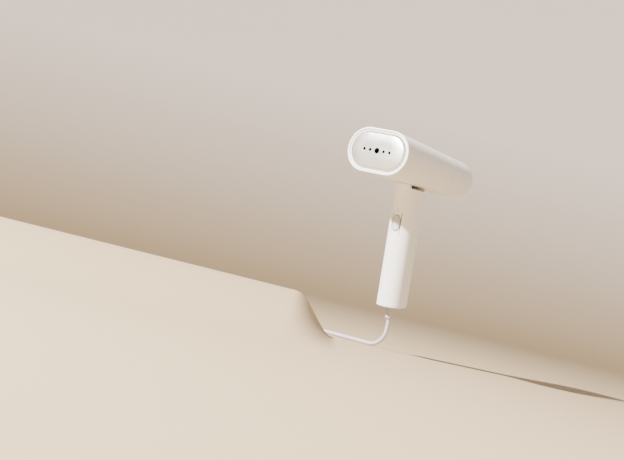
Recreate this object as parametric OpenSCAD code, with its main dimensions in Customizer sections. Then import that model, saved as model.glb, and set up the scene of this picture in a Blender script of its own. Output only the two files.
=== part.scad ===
// Folding handheld garment steamer: a long barrel head with a steam plate at its
// front and a water tank at its rear, on a handle that folds back under the tank.
// Millimetres. The plate faces -Y, the tank is at +Y and +Z is up. The origin is
// on the handle's axis, in the middle of the grip.

/* [Head] */
// Length of the head's front shell, from its rim to the tank seam
front_len = 116.5; // [100:0.1:142]
// Length of the water tank behind the seam
tank_len = 64; // [50:1:75]
// Width of the head at its front rim
head_w = 86; // [76:0.2:104]
// Height of the head at its front rim
head_h = 54.5; // [50:0.5:66]
// How far the top falls for each millimetre towards the rear
top_fall = 0.024; // [0:0.005:0.05]
// How far the underside rises for each millimetre towards the rear
bottom_rise = 0.024; // [0:0.001:0.05]
// How far each side draws in for each millimetre towards the rear
side_draw = 0.02; // [0:0.002:0.04]
// Wall of the head's front shell
head_wall = 2.4; // [1.8:0.1:3.2]
// Radius of the seam's corner between the front shell and the tank
seam_r = 18; // [12:0.5:22]
// How far below the head's middle the seam's corner starts
seam_drop = 9; // [5:0.5:11]
// Gap along the seam between the front shell and the tank
seam_gap = 0.3; // [0.2:0.05:0.5]

/* [Steam plate] */
// Distance from the head's outline to the plate's outline
plate_in = 5.2; // [4.8:0.1:7]
// How far the plate's middle stands in front of the rim
plate_crown = 1.8; // [1:0.1:2.5]
// Gap around the plate
plate_gap = 0.6; // [0.4:0.1:1]
// Diameter of the middle steam hole
big_hole_d = 7; // [5:0.1:8]
// Diameter of the small steam holes
small_hole_d = 3.8; // [2.5:0.1:4.5]
// Distance from the middle hole to the inner small holes
hole_near = 9.7; // [8:0.1:12]
// Distance from the middle hole to the outer small holes
hole_far = 17.9; // [15:0.1:22]

/* [Steam chamber] */
// Depth of the cast chamber behind the plate
chamber_depth = 20; // [16:0.5:26]
// Wall of the cast chamber
chamber_wall = 3; // [2:0.1:4]
// Diameter of the heating element's tube
element_d = 6.5; // [5:0.1:8]
// Distance from the chamber's axis to each leg of the heating element
element_z = 10; // [9.5:0.1:11.5]
// Bore of the water hose
hose_bore = 3; // [2:0.1:4]
// Outer diameter of the water hose
hose_d = 6; // [5:0.1:7]

/* [Pump] */
// Diameter of the pump's coil can
pump_d = 26; // [20:0.5:30]
// Length of the pump's coil can
pump_len = 34; // [28:1:36]

/* [Water tank] */
// Wall of the tank
tank_wall = 2; // [1.5:0.1:2.8]
// Outer diameter of the tank's outlet spigot
spigot_d = 9; // [7:0.1:11]
// Width of the filler lid
lid_w = 24; // [20:0.5:26]
// Length of the filler lid
lid_len = 26; // [22:0.5:28]
// Thickness of the filler lid
lid_t = 2; // [1.6:0.1:2.6]
// Diameter of the filler neck's bore
neck_bore = 14.4; // [12:0.1:15]
// Diameter of the lid's pin
lid_pin_d = 1.4; // [1:0.1:1.6]

/* [Handle] */
// Length of the handle above the grip's middle, to the head's underside
grip_up = 72; // [62:1:86]
// Length of the handle below the grip's middle
grip_down = 79; // [68:1:90]
// Width of the handle
handle_w = 34; // [30:0.1:41]
// Depth of the handle from front to back
handle_d = 38; // [36:0.5:48]
// Radius of the handle's back corners
handle_back_r = 12; // [9:0.5:13]
// Wall of the handle
handle_wall = 2.2; // [1.8:0.1:3]
// Lean of the handle, its foot towards the tank
lean = 9; // [4:0.5:10]
// Distance from the handle's axis to the tank seam
handle_back = 25; // [24:0.5:32]
// Width of the handle's back cover
back_cover_w = 22; // [18:0.5:24]

/* [Hinge] */
// Distance from the handle's back face to the hinge pin
pin_in = 7.5; // [7:0.1:9]
// Diameter of the hinge pin
pin_d = 4; // [3:0.1:5]
// Width of the head's hinge lug
lug_w = 15; // [12:0.5:18]
// Gap between the handle's top and the head
handle_gap = 4.5; // [3.5:0.1:5.5]
// Width of the stop at the front of the handle's top
stop_w = 20; // [16:0.5:22]
// Thickness of each friction washer
washer_t = 0.8; // [0.5:0.1:1.2]

/* [Button] */
// Length of the button's slot
slot_len = 21; // [18:0.1:25.5]
// Width of the button's slot
slot_w = 11.5; // [10:0.1:13]
// Gap between the button and its slot
button_gap = 0.6; // [0.3:0.1:0.8]
// How far the button stands out of the handle
button_proud = 1; // [0.5:0.1:1.5]
// How far the button travels
button_travel = 2.5; // [1.5:0.1:3]
// Height of the button's middle above the grip's middle
button_z = 26.5; // [20:0.5:30]
// Height of the indicator lens above the grip's middle
lens_z = 42; // [41:0.5:43]
// Diameter of the indicator lens
lens_d = 2.6; // [2:0.1:3]

/* [Cord] */
// Diameter of the power cord
cord_d = 5.2; // [4.8:0.1:5.6]
// Height of the surface that the cord lies on
floor_z = -133; // [-135:1:-131]
// Length of the strain relief outside the handle
relief_out = 16; // [13:0.5:19]
// Diameter of the strain relief where it leaves the handle
relief_d = 11; // [10:0.1:12]
// Diameter of the strain relief at its tip
relief_tip_d = 9.4; // [8:0.1:10]
// Diameter of the plug's pins
plug_pin_d = 4.8; // [4:0.1:5]
// Length of the plug's pins
plug_pin_len = 19; // [17:0.5:20]
// Distance between the plug's pins
plug_pin_gap = 19; // [18:0.5:20]

/* [Clearances] */
// Radial clearance of a pin or shaft that turns or slides
run_gap = 0.05; // [0.02:0.01:0.1]
// Clearance of a piece that sits in another
fit_gap = 0.15; // [0.1:0.05:0.3]
// Clearance between pieces that move past each other
move_gap = 0.4; // [0.3:0.05:0.6]

/* [Hidden] */
$fn = 48;
eps = 0.01;
far = 300;

shell_white = "#f4f4f2";
tank_white = "#e9eaea";
plate_silver = "#c9cccd";
cord_grey = "#b9b2b8";

// Head outline at a distance y behind the rim, in the head's own frame.
head_len = front_len + tank_len;
handle_y = front_len - handle_back;
function head_top(y) = head_h / 2 - top_fall * y;
function head_bottom(y) = -head_h / 2 + bottom_rise * y;
function head_half_w(y) = head_w / 2 - side_draw * y;
function head_half_h(y) = (head_top(y) - head_bottom(y)) / 2;
function head_mid(y) = (head_top(y) + head_bottom(y)) / 2;
top_slope = atan(top_fall);
bottom_slope = atan(bottom_rise);

// The head's frame has its origin on its axis at the rim.
head_origin = [0, -grip_up * sin(lean) - handle_y, grip_up * cos(lean) + head_h / 2];
// The hinge pin, in the handle's frame, placed so that the handle's round rear top
// turns clear of the saddle: pin_drop is the pin's depth below the head's underside.
pin_drop = handle_gap + pin_in;
pin_y = handle_d / 2 - pin_in;
pin_z = (grip_up * cos(lean) + bottom_rise * (pin_y * cos(lean) - head_origin[1]) - pin_y * sin(lean) - pin_drop)
    / (cos(lean) + bottom_rise * sin(lean));
// How far the pin is behind the rim, in the head's frame.
pin_head_y = pin_y * cos(lean) - pin_z * sin(lean) - head_origin[1];
lug_r = pin_in - 1;
lug_neck = 2 * lug_r - 2;
back_round = pin_in - run_gap;

module in_head() { translate(head_origin) children(); }
module in_handle() { rotate([lean, 0, 0]) children(); }
module at_pin() { in_handle() translate([0, pin_y, pin_z]) children(); }
// Frame on the head's underside, its origin at a distance y behind the rim.
module on_underside(y) { in_head() translate([0, y, head_bottom(y)]) rotate([bottom_slope, 0, 0]) children(); }
// Frame on the top of the head.
module on_top(y) { in_head() translate([0, y, head_top(y)]) rotate([-top_slope, 0, 0]) children(); }
module along_y(h, r, r2 = -1) { rotate([-90, 0, 0]) cylinder(h = h, r1 = r, r2 = r2 < 0 ? r : r2); }
module along_x(h, r) { rotate([0, 90, 0]) cylinder(h = h, r = r, center = true); }
module stadium(w, l) {
    circle(d = w);
    translate([0, (l - w) / 2]) circle(d = w);
    translate([0, -(l - w) / 2]) circle(d = w);
    square([w, l - w], center = true);
}

// One thin slice of the head's outline, drawn in by an inset.
module head_slice(y, inset, t = eps) {
    r = head_half_h(y) - inset;
    x = head_half_w(y) - head_half_h(y);
    translate([0, y, head_mid(y)]) rotate([-90, 0, 0]) linear_extrude(t) {
        hull() {
            translate([x, 0]) circle(r = r, $fn = 64);
            translate([-x, 0]) circle(r = r, $fn = 64);
        }
    }
}
// A flat disc of the head's outline at y, with straight sides.
module head_disc(y, t, inset) {
    r = head_half_h(y) - inset;
    x = head_half_w(y) - head_half_h(y);
    translate([0, y, head_mid(y)]) rotate([-90, 0, 0]) linear_extrude(t) {
        for (s = [-x, x]) translate([s, 0]) circle(r = r);
        square([2 * x, 2 * r], center = true);
    }
}
// A straight length of the head's tapered body.
module head_body(y0, y1, inset) {
    hull() {
        head_slice(y0, inset);
        head_slice(y1 - eps, inset);
    }
}
// The whole head with its rounded front edge and rounded tank end.
module head_outer() {
    hull() {
        head_slice(0, 0.6);
        head_slice(0.8, 0);
        head_slice(head_len - 13, 0);
        head_slice(head_len - 7, 1.2);
        head_slice(head_len - 2.6, 4.2);
        head_slice(head_len - 0.7, 8);
        head_slice(head_len - eps, 11);
    }
}
// Side view of the front shell's part of the head, grown by an amount.
module front_profile(grow) {
    corner_z = head_mid(front_len) - seam_drop;
    translate([-10, -far / 2]) square([front_len - seam_r + 10, far]);
    translate([0, corner_z]) square([front_len + grow, far]);
    translate([front_len - seam_r, corner_z]) circle(r = seam_r + grow, $fn = 96);
}
module front_region(grow) {
    rotate([90, 0, 90]) translate([0, 0, -far / 2]) linear_extrude(far) front_profile(grow);
}

// ---- head, front part ----

// The shell's floor reaches back under the tank as a tongue that carries the hinge.
saddle_len = 13;
tongue_w = 36.4;
tongue_end = pin_head_y + saddle_len / 2 + 0.2;

module head_shell() {
    color(shell_white) difference() {
        in_head() intersection() {
            head_outer();
            union() {
                front_region(0);
                translate([-tongue_w / 2, 10, -head_h]) cube([tongue_w, tongue_end - 10, head_h / 2 + 12]);
            }
        }
        in_head() head_body(-2, front_len + 10, head_wall);
        saddle_screws() translate([0, 0, -1]) cylinder(h = 8, d = 3.2);
    }
}

// Stack behind the plate, measured from the rim.
plate_back = 6;
gasket_t = 1.5;
frame_flange_y = 10.2;
frame_flange_t = 2;
flange_in = 7;
chamber_in = 13;
chamber_front = plate_back + gasket_t;
chamber_back = chamber_front + chamber_depth;
element_y = chamber_back + element_d / 2;
shield_y = element_y + element_d / 2 + 4;
screw_x = head_w / 2 - 22;
screw_z = head_h / 2 - 10.8;

module plate_frame() {
    color("#d9d9d8") in_head() {
        difference() {
            head_body(1.6, frame_flange_y + frame_flange_t, head_wall + fit_gap);
            head_body(0, frame_flange_y, plate_in - plate_gap);
            head_disc(chamber_front, chamber_depth, chamber_in - fit_gap);
            for (x = [-screw_x, screw_x], z = [-screw_z, screw_z])
                translate([x, 5, z]) along_y(20, 1.2);
        }
    }
}
module steam_plate() {
    color(plate_silver) in_head() difference() {
        hull() {
            head_slice(-plate_crown, plate_in + 15);
            head_slice(-plate_crown * 0.75, plate_in + 9);
            head_slice(-plate_crown * 0.1, plate_in + 3.6);
            head_slice(0.7, plate_in + 1.1);
            head_slice(1.8, plate_in + 0.2);
            head_slice(3, plate_in);
            head_slice(plate_back - eps, plate_in);
        }
        translate([0, -5, 0]) along_y(30, big_hole_d / 2);
        for (x = [-hole_far, -hole_near, hole_near, hole_far])
            translate([x, -5, 0]) along_y(30, small_hole_d / 2);
    }
}
module plate_gasket() {
    color("#c25b3a") in_head() difference() {
        head_disc(plate_back, gasket_t, flange_in);
        head_disc(plate_back - 1, gasket_t + 2, chamber_in + chamber_wall);
        for (x = [-screw_x, screw_x], z = [-screw_z, screw_z])
            translate([x, 0, z]) along_y(30, 1.7);
    }
}
module steam_chamber() {
    color("#a9abad") in_head() difference() {
        union() {
            head_disc(chamber_front, frame_flange_y - fit_gap - chamber_front, flange_in);
            head_disc(chamber_front, chamber_depth, chamber_in);
        }
        head_disc(chamber_front - 1, chamber_depth - chamber_wall + 1, chamber_in + chamber_wall);
        translate([0, chamber_front, 0]) along_y(chamber_depth + 5, hose_bore / 2);
        for (x = [-screw_x, screw_x], z = [-screw_z, screw_z])
            translate([x, 0, z]) along_y(30, 1.7);
    }
}
element_bend_x = -14;
element_end_x = 20;
module heating_element() {
    color("#8b8f92") in_head() translate([0, element_y, 0]) {
        for (z = [-element_z, element_z])
            translate([element_bend_x, 0, z]) rotate([0, 90, 0])
                cylinder(h = element_end_x - element_bend_x, d = element_d);
        translate([element_bend_x, 0, 0]) rotate([90, 0, 0]) rotate([0, 0, 90])
            rotate_extrude(angle = 180) translate([element_z, 0]) circle(d = element_d);
    }
}
module element_terminals() {
    color("#b89b5a") in_head() for (z = [-element_z, element_z])
        translate([element_end_x, element_y, z]) {
            rotate([0, 90, 0]) cylinder(h = 4, d = 2.4);
            translate([3.5, -0.4, -3.15]) cube([7, 0.8, 6.3]);
        }
}
sensor_x = 12;
module thermostat() {
    color("#5b5d60") in_head() translate([sensor_x, chamber_back, 0]) {
        along_y(3, 5.4);
        translate([0, 3, 0]) along_y(4, 4.4);
        for (x = [-2.6, 2.6]) translate([x - 0.4, 7, -1.6]) cube([0.8, 3, 3.2]);
    }
}
module thermal_fuse() {
    color("#cfcfd2") in_head() translate([-sensor_x, chamber_back + 2.1, 0]) {
        translate([0, 0, -5]) cylinder(h = 10, d = 4);
        for (z = [-6, 5]) translate([0, 0, z]) cylinder(h = 1, d = 0.9);
    }
}
module heat_shield() {
    color("#9fa3a6") in_head() difference() {
        head_disc(shield_y, 0.8, head_wall + 3);
        translate([0, shield_y - 3, 0]) along_y(8, hose_d / 2 + 1);
        for (z = [-element_z, element_z])
            translate([element_end_x + 4, shield_y - 3, z]) along_y(8, 3);
    }
}
module chamber_screws() {
    color("#8e9296") in_head() for (x = [-screw_x, screw_x], z = [-screw_z, screw_z])
        translate([x, 0, z]) {
            translate([0, frame_flange_y - fit_gap - 2, 0]) along_y(7, 1.15);
            translate([0, frame_flange_y + frame_flange_t, 0]) along_y(2, 2.2);
        }
}
nozzle_len = 8;
bulkhead_t = 3;
bulkhead_y = pin_head_y - bulkhead_t / 2;
socket_len = 8;
hose_over = 5;
pump_back = bulkhead_y - socket_len + bulkhead_t - nozzle_len - 1;
pump_front = pump_back - pump_len;
module hose(y0, y1) {
    translate([0, y0, 0]) difference() {
        along_y(y1 - y0, hose_d / 2);
        translate([0, -1, 0]) along_y(y1 - y0 + 2, hose_bore / 2);
    }
}
module water_hose() {
    color("#e8e6df") in_head() hose(chamber_back, pump_front - nozzle_len + hose_over);
}
module pump_can() {
    color("#6f7478") in_head() difference() {
        translate([0, pump_front, 0]) along_y(pump_len, pump_d / 2);
        translate([0, pump_front - 1, 0]) along_y(pump_len + 2, pump_d / 4 + fit_gap);
    }
}
module pump_core() {
    color("#dcdad4") in_head() difference() {
        union() {
            translate([0, pump_front, 0]) along_y(pump_len, pump_d / 4);
            translate([0, pump_front - nozzle_len, 0]) along_y(nozzle_len, hose_bore / 2 - run_gap);
            translate([0, pump_front - 2, 0]) along_y(2, hose_d / 2);
            translate([0, pump_back, 0]) along_y(2, hose_d / 2);
            translate([0, pump_back, 0]) along_y(nozzle_len, hose_bore / 2 - run_gap);
        }
        translate([0, pump_front - 20, 0]) along_y(pump_len + 40, 0.7);
    }
}
bracket_w = 9;
module pump_bracket() {
    y = pump_front + 5;
    foot = head_bottom(y + bracket_w) + head_wall + 0.3;
    color("#e6e6e4") in_head() difference() {
        union() {
            translate([0, y, 0]) along_y(bracket_w, pump_d / 2 + 2.4);
            translate([-9, y, foot]) cube([18, bracket_w, -foot]);
        }
        translate([0, y - 1, 0]) along_y(bracket_w + 2, pump_d / 2 + run_gap);
    }
}
module inlet_hose() {
    color("#e8e6df") in_head()
        hose(pump_back + nozzle_len - hose_over + 1, bulkhead_y + bulkhead_t - socket_len);
}
module dock_bulkhead() {
    seal_y = bulkhead_y + bulkhead_t - 3;
    color("#e2e2e0") in_head() difference() {
        union() {
            head_body(bulkhead_y, bulkhead_y + bulkhead_t, head_wall + fit_gap);
            translate([0, bulkhead_y + bulkhead_t - socket_len, 0]) along_y(socket_len + 4, spigot_d / 2 + 4);
        }
        translate([0, bulkhead_y + bulkhead_t - socket_len - 1, 0]) along_y(socket_len + 8, hose_bore / 2);
        translate([0, bulkhead_y + bulkhead_t - socket_len + 2, 0]) along_y(socket_len + 8, spigot_d / 2 + move_gap);
        translate([0, seal_y - fit_gap, 0]) along_y(2.2 + 2 * fit_gap, spigot_d / 2 + 2.2 + 2 * run_gap);
    }
}
module dock_seal() {
    color("#4a4a4c") in_head() translate([0, bulkhead_y + bulkhead_t - 3 + 1.1, 0]) rotate([-90, 0, 0])
        rotate_extrude() translate([spigot_d / 2 + 1.1 + run_gap, 0]) circle(d = 2.2);
}

// ---- hinge, on the head ----

saddle_w = 20;
saddle_screw_x = 6.4;
saddle_screw_y = 4.2;
module saddle_screws() {
    on_underside(pin_head_y) for (x = [-saddle_screw_x, saddle_screw_x], y = [-saddle_screw_y, saddle_screw_y])
        translate([x, y, 0]) children();
}
module hinge_lug() {
    color(shell_white) difference() {
        union() {
            on_underside(pin_head_y) translate([-saddle_w / 2, -saddle_len / 2, move_gap - handle_gap])
                cube([saddle_w, saddle_len, handle_gap - move_gap]);
            on_underside(pin_head_y) rotate([90, 0, 90]) linear_extrude(lug_w, center = true)
                translate([-pin_drop * sin(bottom_slope), -pin_drop * cos(bottom_slope)]) {
                    circle(r = lug_r);
                    translate([-lug_neck / 2, 0]) square([lug_neck, pin_drop - 1]);
                }
        }
        at_pin() along_x(lug_w + 2, pin_d / 2 + run_gap);
        saddle_screws() translate([0, 0, -3.2]) cylinder(h = 5, d = 2.4);
    }
}
module hinge_screws() {
    color("#8e9296") saddle_screws() {
        translate([0, 0, -3]) cylinder(h = 3 + head_wall, d = 2.3);
        translate([0, 0, head_wall + 0.1]) cylinder(h = 1.8, d = 5);
    }
}

// ---- water tank ----

lid_y = front_len + tank_len / 2 - 1;
hinge_in = 2.2;
lid_axis_y = lid_len / 2 - hinge_in;
lid_barrel_r = lid_pin_d / 2 + 0.6;
lid_axis_z = -lid_barrel_r - 0.1;
lid_pin_reach = 1.5;
neck_y = -1.5;
plug_depth = 1.6;
module lid_outline(grow) {
    r = 5 + grow;
    x = lid_w / 2 - 5;
    y = lid_len / 2 - 5;
    for (sx = [-x, x], sy = [-y, y]) translate([sx, sy]) circle(r = r);
    square([lid_w + 2 * grow, 2 * y], center = true);
    square([2 * x, lid_len + 2 * grow], center = true);
}
module water_tank() {
    front_in = front_len + seam_gap + tank_wall;
    color(tank_white) difference() {
        union() {
            in_head() difference() {
                intersection() {
                    head_outer();
                    translate([-far / 2, 10, -far / 2]) cube(far);
                }
                front_region(seam_gap);
                hull() {
                    head_slice(front_in, tank_wall);
                    head_slice(head_len - 13, tank_wall);
                    head_slice(head_len - 7.6, tank_wall + 1.4);
                    head_slice(head_len - 3.6, tank_wall + 4.8);
                    head_slice(head_len - tank_wall - 0.4, tank_wall + 9);
                }
                translate([-tongue_w / 2 - seam_gap, 10, -head_h])
                    cube([tongue_w + 2 * seam_gap, tongue_end + seam_gap - 10, head_h / 2 + 12 + seam_gap]);
            }
            on_top(lid_y) translate([0, 0, -lid_t - 2.4 - 2]) linear_extrude(lid_t + 2.4 + 1.4) lid_outline(2.6);
        }
        on_top(lid_y) {
            translate([0, 0, -lid_t - 0.2]) linear_extrude(10) lid_outline(move_gap / 2 + 0.1);
            translate([0, neck_y, -12]) cylinder(h = 20, d = neck_bore);
            translate([0, lid_axis_y, lid_axis_z]) {
                along_x(lid_w + 2 * lid_pin_reach + 0.4, lid_pin_d / 2 + run_gap);
                along_x(lid_w, lid_barrel_r + move_gap / 2 + 0.1);
            }
        }
        in_head() translate([0, front_len - 5, 0]) along_y(12, spigot_d / 2 + fit_gap);
    }
}
module tank_spigot() {
    y0 = bulkhead_y + bulkhead_t - socket_len + 3;
    color("#dcdad4") in_head() difference() {
        union() {
            translate([0, y0, 0]) along_y(front_len + seam_gap + tank_wall + 3 - y0, spigot_d / 2);
            translate([0, front_len + seam_gap - 2.6, 0]) along_y(2.6, spigot_d / 2 + 1.2);
        }
        translate([0, y0 - 1, 0]) along_y(60, spigot_d / 2 - 1.6);
    }
}
module spigot_seal() {
    color("#c25b3a") in_head() translate([0, front_len + seam_gap + tank_wall, 0]) difference() {
        along_y(1.6, spigot_d / 2 + 2.6);
        translate([0, -1, 0]) along_y(4, spigot_d / 2 + run_gap);
    }
}
module filler_lid() {
    color(tank_white) on_top(lid_y) difference() {
        union() {
            intersection() {
                translate([0, 0, -lid_t]) linear_extrude(lid_t - 0.1) lid_outline(-0.1);
                translate([-lid_w, -lid_len, -10]) cube([2 * lid_w, lid_len + lid_axis_y, 20]);
            }
            translate([0, lid_axis_y, lid_axis_z]) along_x(lid_w - 2 * move_gap, lid_barrel_r);
        }
        translate([0, lid_axis_y, lid_axis_z]) along_x(lid_w + 2, lid_pin_d / 2 + run_gap);
    }
}
module filler_plug() {
    color("#d8d6d2") on_top(lid_y) translate([0, neck_y, -lid_t - plug_depth])
        cylinder(h = plug_depth, d1 = neck_bore - 2.6, d2 = neck_bore - 1.4);
}
module lid_pin() {
    color("#8e9296") on_top(lid_y) translate([0, lid_axis_y, lid_axis_z]) along_x(lid_w + 2 * lid_pin_reach, lid_pin_d / 2);
}

// ---- handle ----

nose_y = -handle_d / 2 + handle_w / 2;
back_y = handle_d / 2 - handle_back_r;
module handle_section(inset) {
    w = handle_w / 2 - inset;
    x = handle_w / 2 - handle_back_r;
    translate([0, nose_y]) circle(r = w, $fn = 96);
    translate([-w, nose_y]) square([2 * w, back_y - nose_y]);
    for (s = [-x, x]) translate([s, back_y]) circle(r = handle_back_r - inset, $fn = 72);
    translate([-x, back_y]) square([2 * x, handle_back_r - inset]);
}
stop_back = 10;
cavity_top = pin_z - 11;
cover_top = cavity_top - 1.5;
cover_bottom = -grip_down + 7;
boss_r = 2.6;
boss_zs = [cover_top - boss_r - 0.2, -grip_down + 27];
slot_x = lug_w / 2 + washer_t + run_gap * 2;
module under_head(gap) {
    on_underside(pin_head_y) translate([-far / 2, -far / 2, -far - gap]) cube(far);
}
module button_outline(grow) { stadium(slot_w + 2 * grow, slot_len + 2 * grow); }
module handle_top_limit() {
    intersection() {
        in_handle() translate([-far / 2, -far / 2, -far / 2]) cube([far, far / 2 + pin_y, far]);
        under_head(handle_gap);
    }
    in_handle() translate([-far / 2, -far / 2, -far / 2]) cube([far, far, far / 2 + pin_z]);
    intersection() {
        in_handle() translate([-stop_w / 2, -far / 2, 0]) cube([stop_w, far / 2 + nose_y - stop_back, far]);
        under_head(move_gap);
    }
    at_pin() along_x(far / 2, back_round);
}
module handle_shell() {
    color(shell_white) difference() {
        intersection() {
            in_handle() translate([0, 0, -grip_down]) linear_extrude(grip_down + grip_up + 12) handle_section(0);
            handle_top_limit();
            in_handle() {
                translate([-far / 2, -far, -far / 2]) cube([far, far + pin_y, far]);
                translate([-far / 2, -far / 2, -far / 2]) cube([far, far, far / 2 + pin_z]);
                translate([0, pin_y, pin_z]) along_x(far / 2, back_round);
            }
        }
        in_handle() {
            difference() {
                translate([0, 0, -grip_down - 1]) linear_extrude(grip_down + 1 + cavity_top)
                    handle_section(handle_wall);
                for (z = boss_zs) translate([0, -handle_d / 2 + 1, z]) along_y(handle_d / 2 + 1, boss_r);
            }
            for (z = boss_zs) translate([0, -handle_d / 2 + 6, z]) along_y(handle_d, 1.5);
            translate([-slot_x, pin_y - lug_r - 1.5, pin_z - lug_r - 1.5]) cube([2 * slot_x, far, far]);
            translate([0, pin_y - 3, cavity_top - 5]) cylinder(h = 12, d = 6);
            translate([-back_cover_w / 2, back_y - 3, cover_bottom]) cube([back_cover_w, far, cover_top - cover_bottom]);
            translate([0, 0, button_z]) rotate([90, 0, 0]) linear_extrude(handle_d) button_outline(0);
            translate([0, -handle_d / 2 - 2, lens_z]) along_y(handle_wall + 4, lens_d / 2 + run_gap);
            translate([0, pin_y, pin_z]) along_x(handle_w - 2 * handle_wall, pin_d / 2 + run_gap);
        }
    }
}
board_y = 2;
board_t = 1.6;
board_top = lens_z - 4;
board_bottom = -35;
board_w = 22;
post_zs = [board_bottom + 5, button_z - 13];
module handle_back_cover() {
    color(shell_white) in_handle() difference() {
        union() {
            intersection() {
                translate([0, 0, cover_bottom + fit_gap]) linear_extrude(cover_top - cover_bottom - 2 * fit_gap)
                    difference() {
                        handle_section(0);
                        handle_section(handle_wall);
                    }
                translate([-back_cover_w / 2 + fit_gap, back_y - 2.8, -far / 2])
                    cube([back_cover_w - 2 * fit_gap, far, far]);
            }
            for (z = post_zs) translate([0, board_y + board_t, z]) along_y(handle_d / 2 - board_y - board_t - 1, 2.6);
            for (z = boss_zs) translate([0, 2.2, z]) along_y(handle_d / 2 - 3.2, boss_r);
        }
        for (z = boss_zs) {
            translate([0, 1, z]) along_y(handle_d, 1.6);
            translate([0, handle_d / 2 - 3, z]) along_y(10, 2.4);
        }
        for (z = post_zs) translate([0, board_y, z]) along_y(9, 1.15);
    }
}
foot_t = 3;
module handle_foot() {
    color(shell_white) in_handle() difference() {
        translate([0, 0, -grip_down]) linear_extrude(foot_t) handle_section(handle_wall + fit_gap);
        translate([0, 0, -grip_down - 1]) cylinder(h = foot_t + 2, d = relief_d - 1.6 + 2 * fit_gap);
    }
}
module hinge_pin() {
    color("#8e9296") at_pin() along_x(handle_w - 2 * handle_wall - 0.6, pin_d / 2);
}
module hinge_washers() {
    color("#b89b5a") at_pin() for (s = [-1, 1]) translate([s * (lug_w / 2 + run_gap + washer_t / 2), 0, 0])
        difference() {
            along_x(washer_t, lug_r - 0.5);
            along_x(washer_t + 1, pin_d / 2 + run_gap);
        }
}

// ---- button and electronics, in the handle ----

flange_y = nose_y - sqrt(pow(handle_w / 2 - handle_wall, 2) - pow(slot_w / 2 + 1.2, 2)) + 0.5;
flange_t = 1.4;
module steam_button() {
    color("#dededd") in_handle() {
        intersection() {
            translate([0, flange_y, button_z]) rotate([90, 0, 0]) linear_extrude(handle_d) button_outline(-button_gap);
            translate([0, nose_y, 0]) cylinder(h = 2 * button_z, r = handle_w / 2 + button_proud, $fn = 96);
        }
        translate([0, flange_y + flange_t, button_z]) rotate([90, 0, 0])
            linear_extrude(flange_t) button_outline(1);
    }
}
switch_y = board_y - 10;
plunger_d = 3;
plunger_in = 2;
module button_plunger() {
    color("#5b5d60") in_handle() translate([0, flange_y + flange_t, button_z])
        along_y(switch_y + plunger_in - flange_y - flange_t, plunger_d / 2);
}
module micro_switch() {
    color("#3c3e42") in_handle() difference() {
        translate([-3.2, switch_y, button_z - 10]) cube([6.4, 10, 20]);
        translate([0, switch_y - 1, button_z]) along_y(plunger_in + button_travel + 3, plunger_d / 2 + 0.1);
    }
}
module control_board() {
    color("#4f7a55") in_handle() difference() {
        translate([-board_w / 2, board_y, board_bottom]) cube([board_w, board_t, board_top - board_bottom]);
        for (z = post_zs) translate([0, board_y - 1, z]) along_y(5, 1.3);
    }
}
module terminal_block() {
    color("#e2e2e0") in_handle() difference() {
        translate([-8, board_y - 10, board_bottom + 10]) cube([16, 10, 9]);
        for (x = [-5, 0, 5]) translate([x, board_y - 6, board_bottom + 9]) cylinder(h = 6, d = 3);
    }
}
module indicator_lens() {
    color("#bfe3c0") in_handle() translate([0, -handle_d / 2 + 0.05, lens_z]) along_y(handle_wall + 1.8, lens_d / 2);
}
module board_screws() {
    color("#8e9296") in_handle() for (z = post_zs) translate([0, 0, z]) {
        translate([0, board_y - 1.6, 0]) along_y(1.6, 2.2);
        translate([0, board_y - 0.5, 0]) along_y(8, 1.1);
    }
}
module cover_screws() {
    color("#8e9296") in_handle() for (z = boss_zs) translate([0, 0, z]) {
        translate([0, handle_d / 2 - 3, 0]) along_y(2, 2.2);
        translate([0, -handle_d / 2 + 8, 0]) along_y(handle_d - 11, 1.4);
    }
}

// ---- cord ----

relief_in = 12;
relief_flange = 3;
clamp_z = -grip_down + foot_t + relief_flange + 6;
module strain_relief() {
    neck = relief_d - 1.6;
    color(cord_grey) in_handle() difference() {
        translate([0, 0, -grip_down]) union() {
            translate([0, 0, foot_t]) cylinder(h = relief_flange, d = relief_d + 4);
            cylinder(h = relief_in, d = neck);
            translate([0, 0, -relief_out + 1.4]) cylinder(h = relief_out - 1.4, d1 = relief_tip_d, d2 = relief_d);
            translate([0, 0, -relief_out]) cylinder(h = 1.4, d1 = relief_tip_d - 2, d2 = relief_tip_d);
        }
        translate([0, 0, -grip_down - relief_out - 1]) cylinder(h = 60, d = cord_d + 2 * run_gap);
    }
}
module cord_clamp() {
    color("#e2e2e0") in_handle() translate([0, 0, clamp_z + 1]) difference() {
        translate([-11, -5, 0]) cube([22, 9, 6]);
        translate([0, 0, -1]) cylinder(h = 8, d = cord_d + 2 * run_gap);
        for (x = [-7.5, 7.5]) translate([x, -6, 3]) along_y(12, 1.3);
    }
}
module clamp_screws() {
    color("#8e9296") in_handle() for (x = [-7.5, 7.5]) translate([x, -7, clamp_z + 4]) {
        along_y(2, 2.4);
        translate([0, 1.5, 0]) along_y(9.4, 1.2);
    }
}

// Route of the cord from the strain relief to the coil.
cord_z = floor_z + cord_d / 2;
exit_y = (grip_down + relief_out) * sin(lean);
exit_z = -(grip_down + relief_out) * cos(lean);
coil_x = -126;
coil_y = -24;
coil_lift = 1;
coil_r = 34.4;
// Offsets of the route's first points from the tip of the strain relief.
drop_points = [[0, -1.6, 9.9], [0, 0, 0], [0.2, 0.8, -5], [0.3, 1.4, -10], [0.1, 1.7, -15]];
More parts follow.
